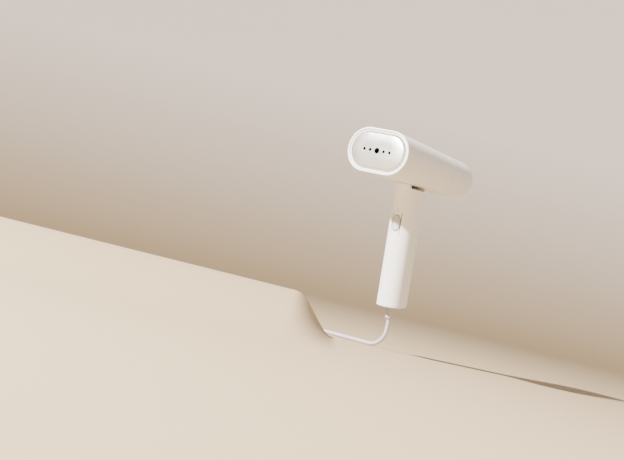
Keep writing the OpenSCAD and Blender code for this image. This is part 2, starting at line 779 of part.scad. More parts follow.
// Points of the bend on to the surface: x, y and height above the line that it lies on.
bend_points = [
    [-0.7, 16.7, 15.6], [-2.8, 16.7, 10.5], [-6.2, 16.7, 6.2], [-10.5, 16.7, 2.8], [-15.6, 16.7, 0.7], [-21, 16.7, 0]
];
run_points = [
    [-29, 16.6], [-38, 16.2], [-47, 15.2], [-56, 13.8], [-65, 12.4], [-74, 11.2],
    [-83, 10.4], [-92, 10], [-101, 9.9], [-110, 10], [-118, 10.3]
];
cord_points = concat(
    [for (p = drop_points) [p[0], exit_y + p[1], exit_z + p[2]]],
    [for (p = bend_points) [p[0], p[1], cord_z + p[2]]],
    [for (p = run_points) [p[0], p[1], cord_z]],
    [[coil_x + 4, coil_y + coil_r, cord_z + 0.6]]
);
// Coil: three turns wide and three high.
coil_in_r = 21.4;
coil_out_r = 37;
coil_h = 15.6;
coil_z = floor_z + coil_lift;
coil_top = coil_z + coil_h;
plug_y = coil_y + 23.5;
plug_t = 15;
plug_wide = 32;
plug_z = coil_top + plug_t / 2;
sleeve_x = coil_x + 6;
tail_points = [
    [coil_x + 24, coil_y + 2, coil_top - 2.6], [coil_x + 23.2, coil_y + 7, coil_top - 1.6],
    [coil_x + 21, coil_y + 12, coil_top + 0.4], [coil_x + 17.6, coil_y + 16.6, coil_top + 3],
    [coil_x + 13.4, coil_y + 20.2, coil_top + 5.4], [coil_x + 9.4, plug_y - 1.1, coil_top + 7],
    [sleeve_x, plug_y - 0.1, plug_z]
];

// Unit vector, and the direction of the route at point i.
function unit(v) = v / norm(v);
function tangent(p, i) = unit(p[min(i + 1, len(p) - 1)] - p[max(i - 1, 0)]);
// A point between p1 and p2 on the smooth curve through four points.
function between(p0, p1, p2, p3, t) = 0.5 * (2 * p1 + (p2 - p0) * t
    + (2 * p0 - 5 * p1 + 4 * p2 - p3) * t * t + (3 * p1 - p0 - 3 * p2 + p3) * t * t * t);
function smooth_route(p, n) = concat([for (i = [0 : len(p) - 2], j = [0 : n - 1])
    between(p[max(i - 1, 0)], p[i], p[i + 1], p[min(i + 2, len(p) - 1)], j / n)], [p[len(p) - 1]]);
module tube(points, d, sides) {
    rings = [for (i = [0 : len(points) - 1])
        let (t = tangent(points, i), a = unit(cross(t, [0, 1, 0.02])), b = cross(t, a))
            [for (k = [0 : sides - 1]) points[i] + d / 2 * (cos(360 * k / sides) * a + sin(360 * k / sides) * b)]];
    verts = [for (ring = rings) each ring];
    last = len(points) - 1;
    polyhedron(verts, concat(
        [[for (k = [0 : sides - 1]) k]],
        [for (i = [0 : last - 1], k = [0 : sides - 1])
            [i * sides + k, (i + 1) * sides + k, (i + 1) * sides + (k + 1) % sides, i * sides + (k + 1) % sides]],
        [[for (k = [sides - 1 : -1 : 0]) last * sides + k]]
    ));
}
module power_cord() { color(cord_grey) tube(smooth_route(cord_points, 2), cord_d, 10); }
module cord_tail() { color(cord_grey) tube(smooth_route(tail_points, 2), cord_d, 10); }
module cord_coil() {
    color(cord_grey) translate([coil_x, coil_y, coil_z]) rotate_extrude()
        translate([(coil_in_r + coil_out_r) / 2, coil_h / 2]) {
            square([coil_out_r - coil_in_r - cord_d, coil_h], center = true);
            square([coil_out_r - coil_in_r, coil_h - cord_d], center = true);
            for (sx = [-1, 1], sz = [-1, 1])
                translate([sx * (coil_out_r - coil_in_r - cord_d) / 2, sz * (coil_h - cord_d) / 2]) circle(d = cord_d);
        }
}
module cord_tie() {
    tie_t = 0.8;
    w = coil_out_r - coil_in_r + 1.4;
    color("#8d8790") translate([coil_x, coil_y, coil_z]) rotate([0, 0, 140])
        translate([-(coil_in_r + coil_out_r) / 2, 0, coil_h / 2]) rotate([90, 0, 0])
            linear_extrude(8, center = true) difference() {
                square([w + 2 * tie_t, coil_h + 0.2 + 2 * tie_t], center = true);
                square([w, coil_h + 0.2], center = true);
            }
}
sleeve = 12;
body = 22;
pin_root = 6;
module plug_body() {
    color(cord_grey) translate([sleeve_x, plug_y, plug_z]) rotate([0, 0, 180]) difference() {
        union() {
            rotate([0, 90, 0]) cylinder(h = sleeve + 2, d1 = 8, d2 = 11);
            translate([sleeve, 0, 0]) rotate([0, 90, 0]) linear_extrude(body) stadium(plug_t, plug_wide);
        }
        rotate([0, 90, 0]) translate([0, 0, -1]) cylinder(h = 3, d = cord_d + 0.2);
        for (s = [-1, 1]) translate([sleeve + body - pin_root, s * plug_pin_gap / 2, 0]) rotate([0, 90, 0])
            cylinder(h = 8, d = plug_pin_d - 1);
    }
}
module plug_pins() {
    color("#c9b27a") translate([sleeve_x - sleeve - body, plug_y, plug_z]) rotate([0, 0, 180])
        for (s = [-1, 1]) translate([0, s * plug_pin_gap / 2, 0]) rotate([0, 90, 0]) {
            translate([0, 0, -pin_root]) cylinder(h = pin_root, d = plug_pin_d - 1);
            cylinder(h = plug_pin_len - 1, d = plug_pin_d);
            translate([0, 0, plug_pin_len - 1]) cylinder(h = 1, d1 = plug_pin_d, d2 = plug_pin_d - 1.6);
        }
}

head_shell();
plate_frame();
steam_plate();
plate_gasket();
steam_chamber();
heating_element();
element_terminals();
thermostat();
thermal_fuse();
heat_shield();
chamber_screws();
water_hose();
pump_can();
pump_core();
pump_bracket();
inlet_hose();
dock_bulkhead();
dock_seal();
hinge_lug();
hinge_screws();
water_tank();
tank_spigot();
spigot_seal();
filler_lid();
filler_plug();
lid_pin();
handle_shell();
handle_back_cover();
handle_foot();
hinge_pin();
hinge_washers();
steam_button();
button_plunger();
micro_switch();
control_board();
terminal_block();
indicator_lens();
board_screws();
cover_screws();
cord_clamp();
clamp_screws();
strain_relief();
power_cord();
cord_coil();
cord_tail();
cord_tie();
plug_body();
plug_pins();
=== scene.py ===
"""Handheld garment steamer: smooth shells, steam plate, cord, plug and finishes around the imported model."""

import math

import bmesh
import bpy
import numpy as np
from bpy.props import FloatProperty, FloatVectorProperty, IntProperty, PointerProperty
from mathutils import Matrix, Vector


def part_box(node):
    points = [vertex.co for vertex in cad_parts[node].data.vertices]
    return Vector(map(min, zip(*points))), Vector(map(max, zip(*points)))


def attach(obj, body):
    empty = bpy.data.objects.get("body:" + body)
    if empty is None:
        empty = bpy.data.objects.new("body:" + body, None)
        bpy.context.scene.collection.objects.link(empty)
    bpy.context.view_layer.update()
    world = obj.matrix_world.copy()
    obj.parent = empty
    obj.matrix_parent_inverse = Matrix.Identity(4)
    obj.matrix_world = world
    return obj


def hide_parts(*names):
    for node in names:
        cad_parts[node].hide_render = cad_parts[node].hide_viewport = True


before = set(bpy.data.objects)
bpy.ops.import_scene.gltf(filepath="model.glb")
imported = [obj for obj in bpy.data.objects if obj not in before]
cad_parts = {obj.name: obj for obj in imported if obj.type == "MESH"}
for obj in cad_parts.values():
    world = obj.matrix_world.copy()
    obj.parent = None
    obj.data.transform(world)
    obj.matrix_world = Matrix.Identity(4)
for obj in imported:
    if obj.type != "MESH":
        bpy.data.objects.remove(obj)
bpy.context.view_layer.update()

bl_info = {
    "name": "Garment Steamer",
    "version": (1, 0, 0),
    "blender": (4, 5, 0),
    "location": "View3D > Sidebar > Steamer",
    "description": "Builds the shells, cord and finishes of a handheld garment steamer",
    "category": "Add Mesh",
}

# Sizes in this file are in millimetres, and meshes are made in metres.
MM = 0.001


def box_mm(node):
    """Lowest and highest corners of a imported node, in millimetres."""
    low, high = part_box(node)
    return np.array(low) / MM, np.array(high) / MM


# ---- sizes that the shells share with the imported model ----

SHELL_LOW, _ = box_mm("head_shell")
_, TANK_HIGH = box_mm("water_tank")
HEAD_LEN = TANK_HIGH[1] - SHELL_LOW[1]
TANK_LEN = 64.0
TOP_FALL = 0.024
SIDE_DRAW = 0.02
HEAD_W = 86.0
HEAD_H = 54.5
RIM = np.array([0.0, SHELL_LOW[1], 98.3636])
FRONT_LEN = 116.5
SEAM_R = 18.0
SEAM_DROP = 9.0
SEAM_GAP = 0.3
TONGUE_HALF = 18.2
LEAN = math.radians(9)
GRIP_FOOT = -79.0
HANDLE_W = 34.0
HANDLE_D = 38.0
BACK_R = 12.0
PIN_Y = 11.5
PIN_Z = 60.57
BACK_ROUND = 7.45
HANDLE_WALL = 2.2
NOSE_Y = -HANDLE_D / 2 + HANDLE_W / 2
BACK_Y = HANDLE_D / 2 - BACK_R
BUTTON_Z = 26.5
SLOT_W = 11.5
SLOT_LEN = 21.0
SLOT_FLOOR = -10.8
BUTTON_GAP = 0.6
LENS_Z = 42.0
LENS_BORE_R = 1.36
COVER_HALF = 11.0
COVER_GAP = 0.15
FLOOR_Z = -133.0


def frame_size(name, default, text, low, high):
    """A length property in metres."""
    return FloatProperty(
        name=name, description=text, default=default, min=low, max=high, unit="LENGTH", subtype="DISTANCE"
    )


def linear(code):
    """sRGB hex colour turned to linear red, green and blue."""
    parts = [int(code[i : i + 2], 16) / 255 for i in (1, 3, 5)]
    return tuple(c / 12.92 if c <= 0.04045 else ((c + 0.055) / 1.055) ** 2.4 for c in parts)


def colour(name, code, text):
    """A colour property whose default is an sRGB hex value."""
    return FloatVectorProperty(
        name=name, description=text, default=linear(code), min=0, max=1, size=3, subtype="COLOR"
    )


class SteamerSizes(bpy.types.PropertyGroup):
    """Sizes of the parts that are finished here."""

    cord_diameter: frame_size("Cord diameter", 0.0052, "Outer diameter of the mains lead", 0.004, 0.008)
    wall: frame_size("Shell wall", 0.0024, "Wall of the moulded head shell", 0.0015, 0.004)
    edge_round: frame_size("Edge rounding", 0.0008, "Radius of the shells' outer edges", 0.0002, 0.0015)
    grain: frame_size("Mould grain", 0.0006, "Spacing of the grain in the moulded plastic", 0.0002, 0.002)
    cord_sides: IntProperty(name="Cord sides", description="Faces around the lead", default=16, min=8, max=32)
    floor_size: frame_size("Floor radius", 3.4, "Radius of the flat studio floor", 2.6, 6.0)
    swell_height: frame_size("Swell height", 0.046, "Height of the soft swell in the floor", 0.0, 0.08)


class SteamerColours(bpy.types.PropertyGroup):
    """Colours of the visible materials."""

    shell: colour("Shell", "#f3f3f2", "White moulded shells")
    tank: colour("Tank", "#eef1f2", "Milky white tank")
    bezel: colour("Bezel", "#ebebea", "Frame around the steam plate")
    plate: colour("Plate", "#d3d6d6", "Coated aluminium plate")
    button: colour("Button", "#c4c4c4", "Steam button")
    cord: colour("Cord", "#b9b0b8", "Lead, strain relief and plug")
    floor: colour("Floor", "#b8a484", "Studio floor near the object")
    wall: colour("Wall", "#f0e7df", "Studio wall")


class SteamerSettings(bpy.types.PropertyGroup):
    """All settings of the steamer."""

    sizes: PointerProperty(type=SteamerSizes)
    colours: PointerProperty(type=SteamerColours)


# ---- meshes from arrays ----


def finish_mesh(mesh, sharp=35.0, outward=True):
    """Joins doubled points, turns faces outwards and shades smooth up to an angle."""
    bm = bmesh.new()
    bm.from_mesh(mesh)
    bmesh.ops.remove_doubles(bm, verts=bm.verts, dist=2e-6)
    bmesh.ops.dissolve_degenerate(bm, edges=bm.edges, dist=1e-7)
    if outward:
        bmesh.ops.recalc_face_normals(bm, faces=bm.faces)
    bm.to_mesh(mesh)
    bm.free()
    mesh.shade_smooth()
    mesh.set_sharp_from_angle(angle=math.radians(sharp))
    return mesh


def grid(name, points, ring_rows=False, ring_columns=True, sharp=35.0):
    """Mesh of a grid of points in millimetres, rows by columns. The columns go round, and the rows
    may too."""
    rows, columns = points.shape[:2]
    index = np.arange(rows * columns).reshape(rows, columns)
    here = index if ring_rows else index[:-1]
    below = np.roll(index, -1, 0) if ring_rows else index[1:]
    if ring_columns:
        quads = np.stack([here, np.roll(here, -1, 1), np.roll(below, -1, 1), below], -1)
    else:
        quads = np.stack([here[:, :-1], here[:, 1:], below[:, 1:], below[:, :-1]], -1)
    mesh = bpy.data.meshes.new(name)
    mesh.from_pydata(points.reshape(-1, 3) * MM, [], quads.reshape(-1, 4).tolist())
    return finish_mesh(mesh, sharp, outward=ring_columns)


def piece(name, mesh, material=None):
    """Object of a mesh, at the origin, in the scene."""
    obj = bpy.data.objects.new(name, mesh)
    bpy.context.scene.collection.objects.link(obj)
    if material is not None:
        mesh.materials.clear()
        mesh.materials.append(material)
    return obj


def capped(rings):
    """Rings of a tube with a middle point added at each end, so that it closes."""
    first = np.broadcast_to(rings[0].mean(0), rings[0].shape)[None]
    last = np.broadcast_to(rings[-1].mean(0), rings[-1].shape)[None]
    return np.concatenate([first, rings, last])


def cut(obj, cutters, sharp=35.0):
    """Takes closed cutter meshes out of a piece and removes the cutters."""
    for mesh in cutters:
        tool = bpy.data.objects.new("cutter", mesh)
        bpy.context.scene.collection.objects.link(tool)
        modifier = obj.modifiers.new("cut", "BOOLEAN")
        modifier.operation = "DIFFERENCE"
        modifier.solver = "EXACT"
        modifier.object = tool
        bpy.context.view_layer.update()
        depsgraph = bpy.context.evaluated_depsgraph_get()
        result = bpy.data.meshes.new_from_object(obj.evaluated_get(depsgraph))
        obj.modifiers.clear()
        obj.data = result
        bpy.data.objects.remove(tool)
    result.name = obj.name
    if len(result.polygons) == 0:
        raise RuntimeError(f"{obj.name}: nothing is left after the cut")
    result.shade_smooth()
    result.set_sharp_from_angle(angle=math.radians(sharp))
    return obj


def quarter(steps):
    """Sine and one minus cosine of angles from 0 to 90 degrees: the two sides of a rounded edge."""
    a = np.linspace(0, np.pi / 2, steps)
    return np.sin(a), 1 - np.cos(a)


def smoothstep(t):
    """3t^2 - 2t^3 between 0 and 1."""
    t = np.clip(t, 0, 1)
    return t * t * (3 - 2 * t)


def frames_from(points):
    """Unit directions of a line of points, from the differences between neighbours."""
    step = np.gradient(points, axis=0)
    return step / np.linalg.norm(step, axis=1, keepdims=True)


# ---- head frame ----


def in_head(p):
    """Points of the head's own frame, placed in the shared frame."""
    return p + RIM


def half_height(y):
    """Half height of the head at y behind the rim: it falls evenly towards the rear."""
    return HEAD_H / 2 - TOP_FALL * y


def half_width(y):
    """Half width of the head at y behind the rim."""
    return HEAD_W / 2 - SIDE_DRAW * y


def head_columns(arc=60, flat=12, corners=(4.45, 4.65, 5.1, 5.3)):
    """Columns round a stadium: a share of the flat, and the cosine and sine of the round ends.
    Columns are added at given degrees from the bottom, where the tongue's corners are."""
    base = np.linspace(-90, 90, arc + 1)
    right = np.sort(np.concatenate([base, np.array(corners) - 90]))
    left = (180 - right)[::-1]
    top = np.linspace(1, -1, flat + 1)[1:-1]
    share = np.concatenate([np.ones(len(right)), top, -np.ones(len(left)), top[::-1]])
    angle = np.radians(np.concatenate([right, np.full(len(top), 90.0), left, np.full(len(top), -90.0)]))
    cosine = np.cos(angle)
    cosine[np.abs(cosine) < 1e-9] = 0
    return share, cosine, np.sin(angle)


def head_rows(y, inset, columns):
    """Points on the head's outline at y, drawn in by an inset: flat share times the half flat,
    plus the end's radius times its cosine and sine."""
    share, cosine, sine = columns
    shape = np.broadcast_shapes(np.shape(y), (1, len(share)), np.shape(inset))
    y = np.broadcast_to(np.asarray(y, float), shape)
    radius = half_height(y) - inset
    flat = half_width(y) - half_height(y)
    return np.stack([share * flat + radius * cosine, y, radius * sine], -1)


def straight_row(y, inset, columns):
    """One ring of the head's outline in a plane across it at y."""
    return head_rows(np.full((1, 1), y), inset, columns)


def seam_y(z):
    """Seam between shell and tank at height z: straight above the corner, a quarter circle below it."""
    drop = np.clip(-SEAM_DROP - z, 0, SEAM_R)
    return FRONT_LEN - SEAM_R + np.sqrt(SEAM_R**2 - drop**2)


def seam_at(columns, tongue_half, tongue_end):
    """The seam's y for each column, found by repeating y = seam(z(y)), with the tongue's end at
    the bottom."""
    y = np.full(len(columns[0]), FRONT_LEN)
    for _ in range(6):
        p = head_rows(y[None], 0.0, columns)[0]
        y = seam_y(p[:, 2])
    p = head_rows(y[None], 0.0, columns)[0]
    return np.where((np.abs(p[:, 0]) < tongue_half) & (p[:, 2] < 0), tongue_end, y)


def tongue_end():
    """The tongue ends just behind the hinge saddle."""
    low, high = box_mm("hinge_lug")
    return high[1] - RIM[1] + 0.2


def build_head_shell(settings):
    """Front shell: an outer wall that follows the stadium outline from a rounded rim to the seam,
    and an inner wall set in by the wall's thickness, as one closed ring of rows."""
    wall = settings.sizes.wall / MM
    rim_r = settings.sizes.edge_round / MM + 0.1
    columns = head_columns()
    end = seam_at(columns, TONGUE_HALF, tongue_end())[None]
    s, c = quarter(7)
    inner_lip, inside_y = 0.6, 14.0
    rows = [straight_row(y, wall, columns) for y in (inside_y, 8.0, inner_lip)]
    rows += [straight_row(inner_lip * (1 - s[i]), wall - inner_lip * c[i], columns) for i in (2, 4, 6)]
    rows += [straight_row(rim_r * c[i], rim_r * (1 - s[i]), columns) for i in range(7)]
    share = np.linspace(0, 1, 48)[1:, None]
    edge = 0.6
    rows.append(head_rows(rim_r + (end - edge - rim_r) * share, 0.0, columns))
    rows += [head_rows(end - edge * (1 - s[i]), edge * c[i], columns) for i in (2, 4, 6)]
    rows.append(head_rows(end, wall, columns))
    back = np.linspace(0, 1, 10)[1:-1, None]
    rows.append(head_rows(end + (inside_y - end) * back, wall, columns))
    points = in_head(np.concatenate(rows))
    return piece("head_shell_moulding", grid("head_shell_moulding", points, ring_rows=True, sharp=50))


def build_bezel():
    """Frame around the plate: a ring between the shell and the plate with rounded front edges."""
    columns = head_columns(corners=())
    outer, inner, front, back = 2.55, 4.6, 1.6, 8.0
    s, c = quarter(5)
    r = 0.5
    rows = [(back, outer), (front + r, outer)]
    rows += [(front + r * (1 - s[i]), outer + r * c[i]) for i in range(1, 5)]
    rows += [(front + r * c[i], inner - r * (1 - s[i])) for i in range(5)]
    rows += [(back, inner)]
    points = np.concatenate([straight_row(y, inset, columns) for y, inset in rows])
    return piece("bezel_ring", grid("bezel_ring", in_head(points), ring_rows=True, sharp=50))


def stadium_ring(width, length, n=24):
    """Outline of a slot with round ends: half circles of the slot's width at both ends, as x and z."""
    a = np.radians(np.linspace(0, 180, n + 1))
    r = width / 2
    half = length / 2 - r
    top = np.stack([r * np.cos(a), half + r * np.sin(a)], -1)
    return np.concatenate([top, -top])


def round_ring(radius, n=40):
    """Circle as x and z."""
    a = np.linspace(0, 2 * np.pi, n, endpoint=False)
    return radius * np.stack([np.cos(a), np.sin(a)], -1)


def bar_along_y(outline, y0, y1, middle=(0.0, 0.0)):
    """Closed straight bar along y with an x-z outline."""
    x, z = outline[:, 0] + middle[0], outline[:, 1] + middle[1]
    rings = np.stack([np.stack([x, np.full_like(x, y), z], -1) for y in (y0, y1)])
    return capped(rings)


# each steam hole's x and radius
STEAM_HOLES = [(-17.9, 1.9), (-9.7, 1.9), (0.0, 3.5), (9.7, 1.9), (17.9, 1.9)]


def build_plate():
    """Steam plate: its height over the outline is a flat parabola that crowns the middle, with a
    quarter-ellipse edge, and five drilled holes in a row."""
    columns = head_columns(corners=())
    edge_in, edge_r, crown_in = 5.2, 2.0, 20.2
    proud, crown = 1.75, 1.5
    inset = np.concatenate([
        edge_in + edge_r * (1 - np.sin(np.linspace(0, np.pi / 2, 9)))[::-1],
        np.linspace(edge_in + edge_r, crown_in, 12)[1:],
    ])
    out = (crown_in - inset) / (crown_in - edge_in)
    over = np.clip((edge_in + edge_r - inset) / edge_r, 0, 1)
    y = -proud + crown * out**2 + edge_r * (1 - np.sqrt(1 - over**2))
    body = [straight_row(v, edge_in, columns) for v in (5.9, 4.0)]
    face = [straight_row(v, i, columns) for v, i in zip(y, inset)]
    rings = np.concatenate(body + face)
    middle = rings[-1] * np.array([1, 0, 1])
    inner = [middle * np.array([k, 0, k]) + np.array([0, y[-1], 0]) for k in (0.75, 0.5, 0.25, 0.0)]
    back = [rings[0] * np.array([0, 1, 0])]
    points = np.concatenate([np.stack(back), rings, np.stack(inner)])
    obj = piece("steam_plate_face", grid("steam_plate_face", in_head(points), sharp=50))
    bores = [bar_along_y(round_ring(r), -4.0, 9.0, (x, 0.0)) for x, r in STEAM_HOLES]
    return cut(obj, [grid("bore", in_head(b)) for b in bores], sharp=32)


def in_steam_holes(p):
    """True for points on the walls of the plate's steam holes, whose faces get the painted shade."""
    x, _, z = p.T
    slack = 0.02
    return np.any([np.hypot(x - middle, z - RIM[2]) < r + slack for middle, r in STEAM_HOLES], axis=0)


def on_top(p, y):
    """Points of a frame that lies on the head's top at y, placed in the head's frame."""
    slope = math.atan(TOP_FALL)
    c, s = math.cos(slope), math.sin(slope)
    turn = np.array([[1, 0, 0], [0, c, s], [0, -s, c]])
    return p @ turn.T + np.array([0, y, half_height(y)])


def rounded_box_ring(width, length, r, n=8):
    """Rectangle with quarter-circle corners as x and y."""
    a = np.radians(np.linspace(0, 90, n + 1))
    corner = r * np.stack([np.cos(a), np.sin(a)], -1)
    x, y = width / 2 - r, length / 2 - r
    parts = []
    for q, middle in zip(np.radians([0, 90, 180, 270]), [(x, y), (-x, y), (-x, -y), (x, -y)]):
        turn = np.array([[math.cos(q), -math.sin(q)], [math.sin(q), math.cos(q)]])
        parts.append(corner @ turn.T + np.array(middle))
    return np.concatenate(parts)


def build_tank():
    """Water tank: the head's outline from the seam to a rear end whose inset grows as an ellipse,
    closed by a front wall that follows the seam, with the filler pocket and neck cut in its top."""
    columns = head_columns()
    notch_half, notch_end = TONGUE_HALF + SEAM_GAP, tongue_end() + SEAM_GAP
    start = seam_at(columns, notch_half, tongue_end())[None] + SEAM_GAP
    s, c = quarter(5)
    edge, notch_low = 0.6, -15.0
    outline = head_rows(start, edge, columns)[0]
    front = []
    for k in np.linspace(0, 1, 16):
        p = outline * np.array([k, 0, k])
        y = seam_y(p[:, 2]) + SEAM_GAP
        notch = (np.abs(p[:, 0]) < notch_half) & (p[:, 2] < notch_low)
        p[:, 1] = np.where(notch, notch_end, y) if k < 1 else outline[:, 1]
        front.append(p)
    rows = [np.stack(front)]
    for v in s[1:]:
        rows.append(head_rows(start + edge * (1 - np.sqrt(max(0, 1 - v * v))), edge * (1 - v), columns))
    end_len, end_in = 13.0, 11.0
    flat_end = HEAD_LEN - end_len
    share = np.linspace(0, 1, 24)[1:, None]
    rows.append(head_rows(start + edge + (flat_end - start - edge) * share, 0.0, columns))
    turn = np.linspace(0, np.pi / 2, 18)[1:, None]
    rows.append(head_rows(flat_end + end_len * np.sin(turn), end_in * (1 - np.cos(turn)), columns))
    last = rows[-1][-1]
    rows.append(np.stack([last * np.array([k, 1, k]) for k in (0.8, 0.6, 0.4, 0.2, 0.0)]))
    obj = piece("water_tank_moulding", grid("water_tank_moulding", in_head(np.concatenate(rows)), sharp=50))
    lid_y = FRONT_LEN + TANK_LEN / 2 - 1
    lid_w, lid_len, lid_gap = 24.0, 26.0, 0.3
    pocket = rounded_box_ring(lid_w + 2 * lid_gap, lid_len + 2 * lid_gap, 5.3)
    neck = round_ring(7.2, 48)
    barrel_y, barrel_z, barrel_r = 10.8, -1.4, 1.6
    tools = []
    for ring, low, middle in ((pocket, -2.2, 0.0), (neck, -26.0, -1.5)):
        rings = np.stack([
            np.stack([ring[:, 0], ring[:, 1] + middle, np.full(len(ring), z)], -1) for z in (low, 8.0)
        ])
        tools.append(grid("pocket", in_head(on_top(capped(rings), lid_y))))
    around = round_ring(barrel_r, 24)
    barrel = np.stack([
        np.stack([np.full(len(around), x), barrel_y + around[:, 0], barrel_z + around[:, 1]], -1)
        for x in (-lid_w / 2, lid_w / 2)
    ])
    tools.append(grid("barrel", in_head(on_top(capped(barrel), lid_y))))
    return cut(obj, tools, sharp=40)


# ---- handle frame ----


def in_handle(p):
    """Points of the handle's frame, leaned about the x axis into the shared frame."""
    c, s = math.cos(LEAN), math.sin(LEAN)
    return np.stack([p[..., 0], p[..., 1] * c - p[..., 2] * s, p[..., 1] * s + p[..., 2] * c], -1)


def handle_columns():
    """Columns round the handle: middle points, outward directions and radii of a half-round nose,
    straight sides and a back with round corners."""
    half = HANDLE_W / 2 - BACK_R
    stop_half = 10
    stop = math.degrees(math.acos(stop_half / (HANDLE_W / 2)))
    extra = np.array([180 + stop - 0.6, 180 + stop + 0.6, 360 - stop - 0.6, 360 - stop + 0.6])
    nose = np.sort(np.concatenate([np.linspace(180, 360, 73), extra]))
    corner = np.linspace(0, 90, 25)
    side = np.linspace(NOSE_Y, BACK_Y, 5)[1:-1]
    flat = np.linspace(half, -half, 7)[1:-1]
    parts = [
        (np.zeros(len(nose)), np.full(len(nose), NOSE_Y), nose, HANDLE_W / 2),
        (np.zeros(len(side)), side, np.zeros(len(side)), HANDLE_W / 2),
        (np.full(25, half), np.full(25, BACK_Y), corner, BACK_R),
        (flat, np.full(len(flat), BACK_Y), np.full(len(flat), 90.0), BACK_R),
        (np.full(25, -half), np.full(25, BACK_Y), corner + 90, BACK_R),
        (np.zeros(len(side)), side[::-1], np.full(len(side), 180.0), HANDLE_W / 2),
    ]
    x = np.concatenate([p[0] for p in parts])
    y = np.concatenate([p[1] for p in parts])
    a = np.radians(np.concatenate([p[2] for p in parts]))
    r = np.concatenate([np.full(len(p[0]), p[3]) for p in parts])
    return x, y, np.cos(a), np.sin(a), r


def handle_ring(columns, inset=0.0):
    """Handle outline drawn in by an inset, as x and y."""
    x, y, c, s, r = columns
    return np.stack([x + c * (r - inset), y + s * (r - inset)], -1)


def handle_top(x, y):
    """Height of the handle's top: a plane a set gap below the head's underside, raised at the
    front stop, and a round about the hinge pin at the rear."""
    c, s = math.cos(LEAN), math.sin(LEAN)
    ease = 0.4
    stop = smoothstep((10.2 - np.abs(x)) / ease) * smoothstep((-11.8 - y) / ease)
    open_gap, stop_gap = 4.5, 0.4
    gap = open_gap + (stop_gap - open_gap) * stop
    under = RIM[2] - HEAD_H / 2
    plane = (under - gap + TOP_FALL * (y * c - RIM[1]) - y * s) / (c + TOP_FALL * s)
    behind = PIN_Z + np.sqrt(np.clip(BACK_ROUND**2 - (y - PIN_Y) ** 2, 0, None))
    return np.where(y > PIN_Y, np.minimum(behind, plane), plane)


def cover_span():
    """Lowest and highest z of the back cover, in the handle's frame."""
    top = PIN_Z - 11 - 1.5
    return GRIP_FOOT + 7, top


def box_cutter(low, high):
    """Closed box between two corners."""
    ring = np.array([[low[0], low[1]], [high[0], low[1]], [high[0], high[1]], [low[0], high[1]]])
    rings = np.stack([np.column_stack([ring, np.full(4, z)]) for z in (low[2], high[2])])
    return capped(rings)


def build_handle():
    """Handle shell: the outline carried up from a rounded foot edge to the top surface, closed over
    the top, with the hinge slot, button slot, lens bore and back cover opening cut out."""
    columns = handle_columns()
    r = 0.9
    s, c = quarter(6)
    rows = []

    def level(inset, z):
        ring = handle_ring(columns, inset)
        return np.column_stack([ring, np.full(len(ring), z)])

    floor = level(HANDLE_WALL, GRIP_FOOT + 3)
    rows += [floor * np.array([k, k, 1]) for k in (0.0, 0.5)]
    rows += [floor, level(HANDLE_WALL, GRIP_FOOT)]
    rows += [level(r * (1 - s[i]), GRIP_FOOT + r * c[i]) for i in range(6)]
    ring = handle_ring(columns)
    top = handle_top(ring[:, 0], ring[:, 1])
    soft = 0.6
    for share in np.linspace(0, 1, 70)[1:]:
        z = GRIP_FOOT + r + (top - soft - GRIP_FOOT - r) * share
        rows.append(np.column_stack([ring, z]))
    for i in range(1, 6):
        inner = handle_ring(columns, soft * c[i])
        rows.append(np.column_stack([inner, top - soft * (1 - s[i])]))
    edge = handle_ring(columns, soft)
    for k in np.linspace(1, 0, 26)[1:]:
        p = edge * k + np.array([0, -1.0]) * (1 - k)
        rows.append(np.column_stack([p, handle_top(p[:, 0], p[:, 1])]))
    obj = piece("handle_moulding", grid("handle_moulding", in_handle(np.stack(rows)), sharp=50))
    low, high = cover_span()
    hinge_half, past = 8.4, 40
    tools = [
        box_cutter((-hinge_half, PIN_Y - 8, PIN_Z - 8), (hinge_half, past, PIN_Z + past)),
        box_cutter((-COVER_HALF, 14.0, low), (COVER_HALF, past, high)),
        bar_along_y(stadium_ring(SLOT_W, SLOT_LEN), -past, SLOT_FLOOR, (0, BUTTON_Z)),
        bar_along_y(round_ring(LENS_BORE_R, 28), -past, -16.5, (0, LENS_Z)),
    ]
    return cut(obj, [grid("tool", in_handle(t)) for t in tools], sharp=38)


def in_button_slot(p):
    """True for points inside the button's slot, behind the handle's face, whose faces get the painted shade.
    The points are turned back into the handle's frame first."""
    c, s = math.cos(LEAN), math.sin(LEAN)
    x = p[:, 0]
    y, z = p[:, 1] * c + p[:, 2] * s, p[:, 2] * c - p[:, 1] * s
    low, high = (-6.2, -17.9, 14), (6.2, -10.2, 39)
    return np.all([(v > a) & (v < b) for v, a, b in zip((x, y, z), low, high)], axis=0)


def mark_faces(obj, inside):
    """Gives the second material to the faces whose middles lie inside a space."""
    mesh = obj.data
    middles = np.zeros(len(mesh.polygons) * 3)
    mesh.polygons.foreach_get("center", middles)
    chosen = inside(middles.reshape(-1, 3) / MM)
    mesh.polygons.foreach_set("material_index", chosen.astype(np.int32))


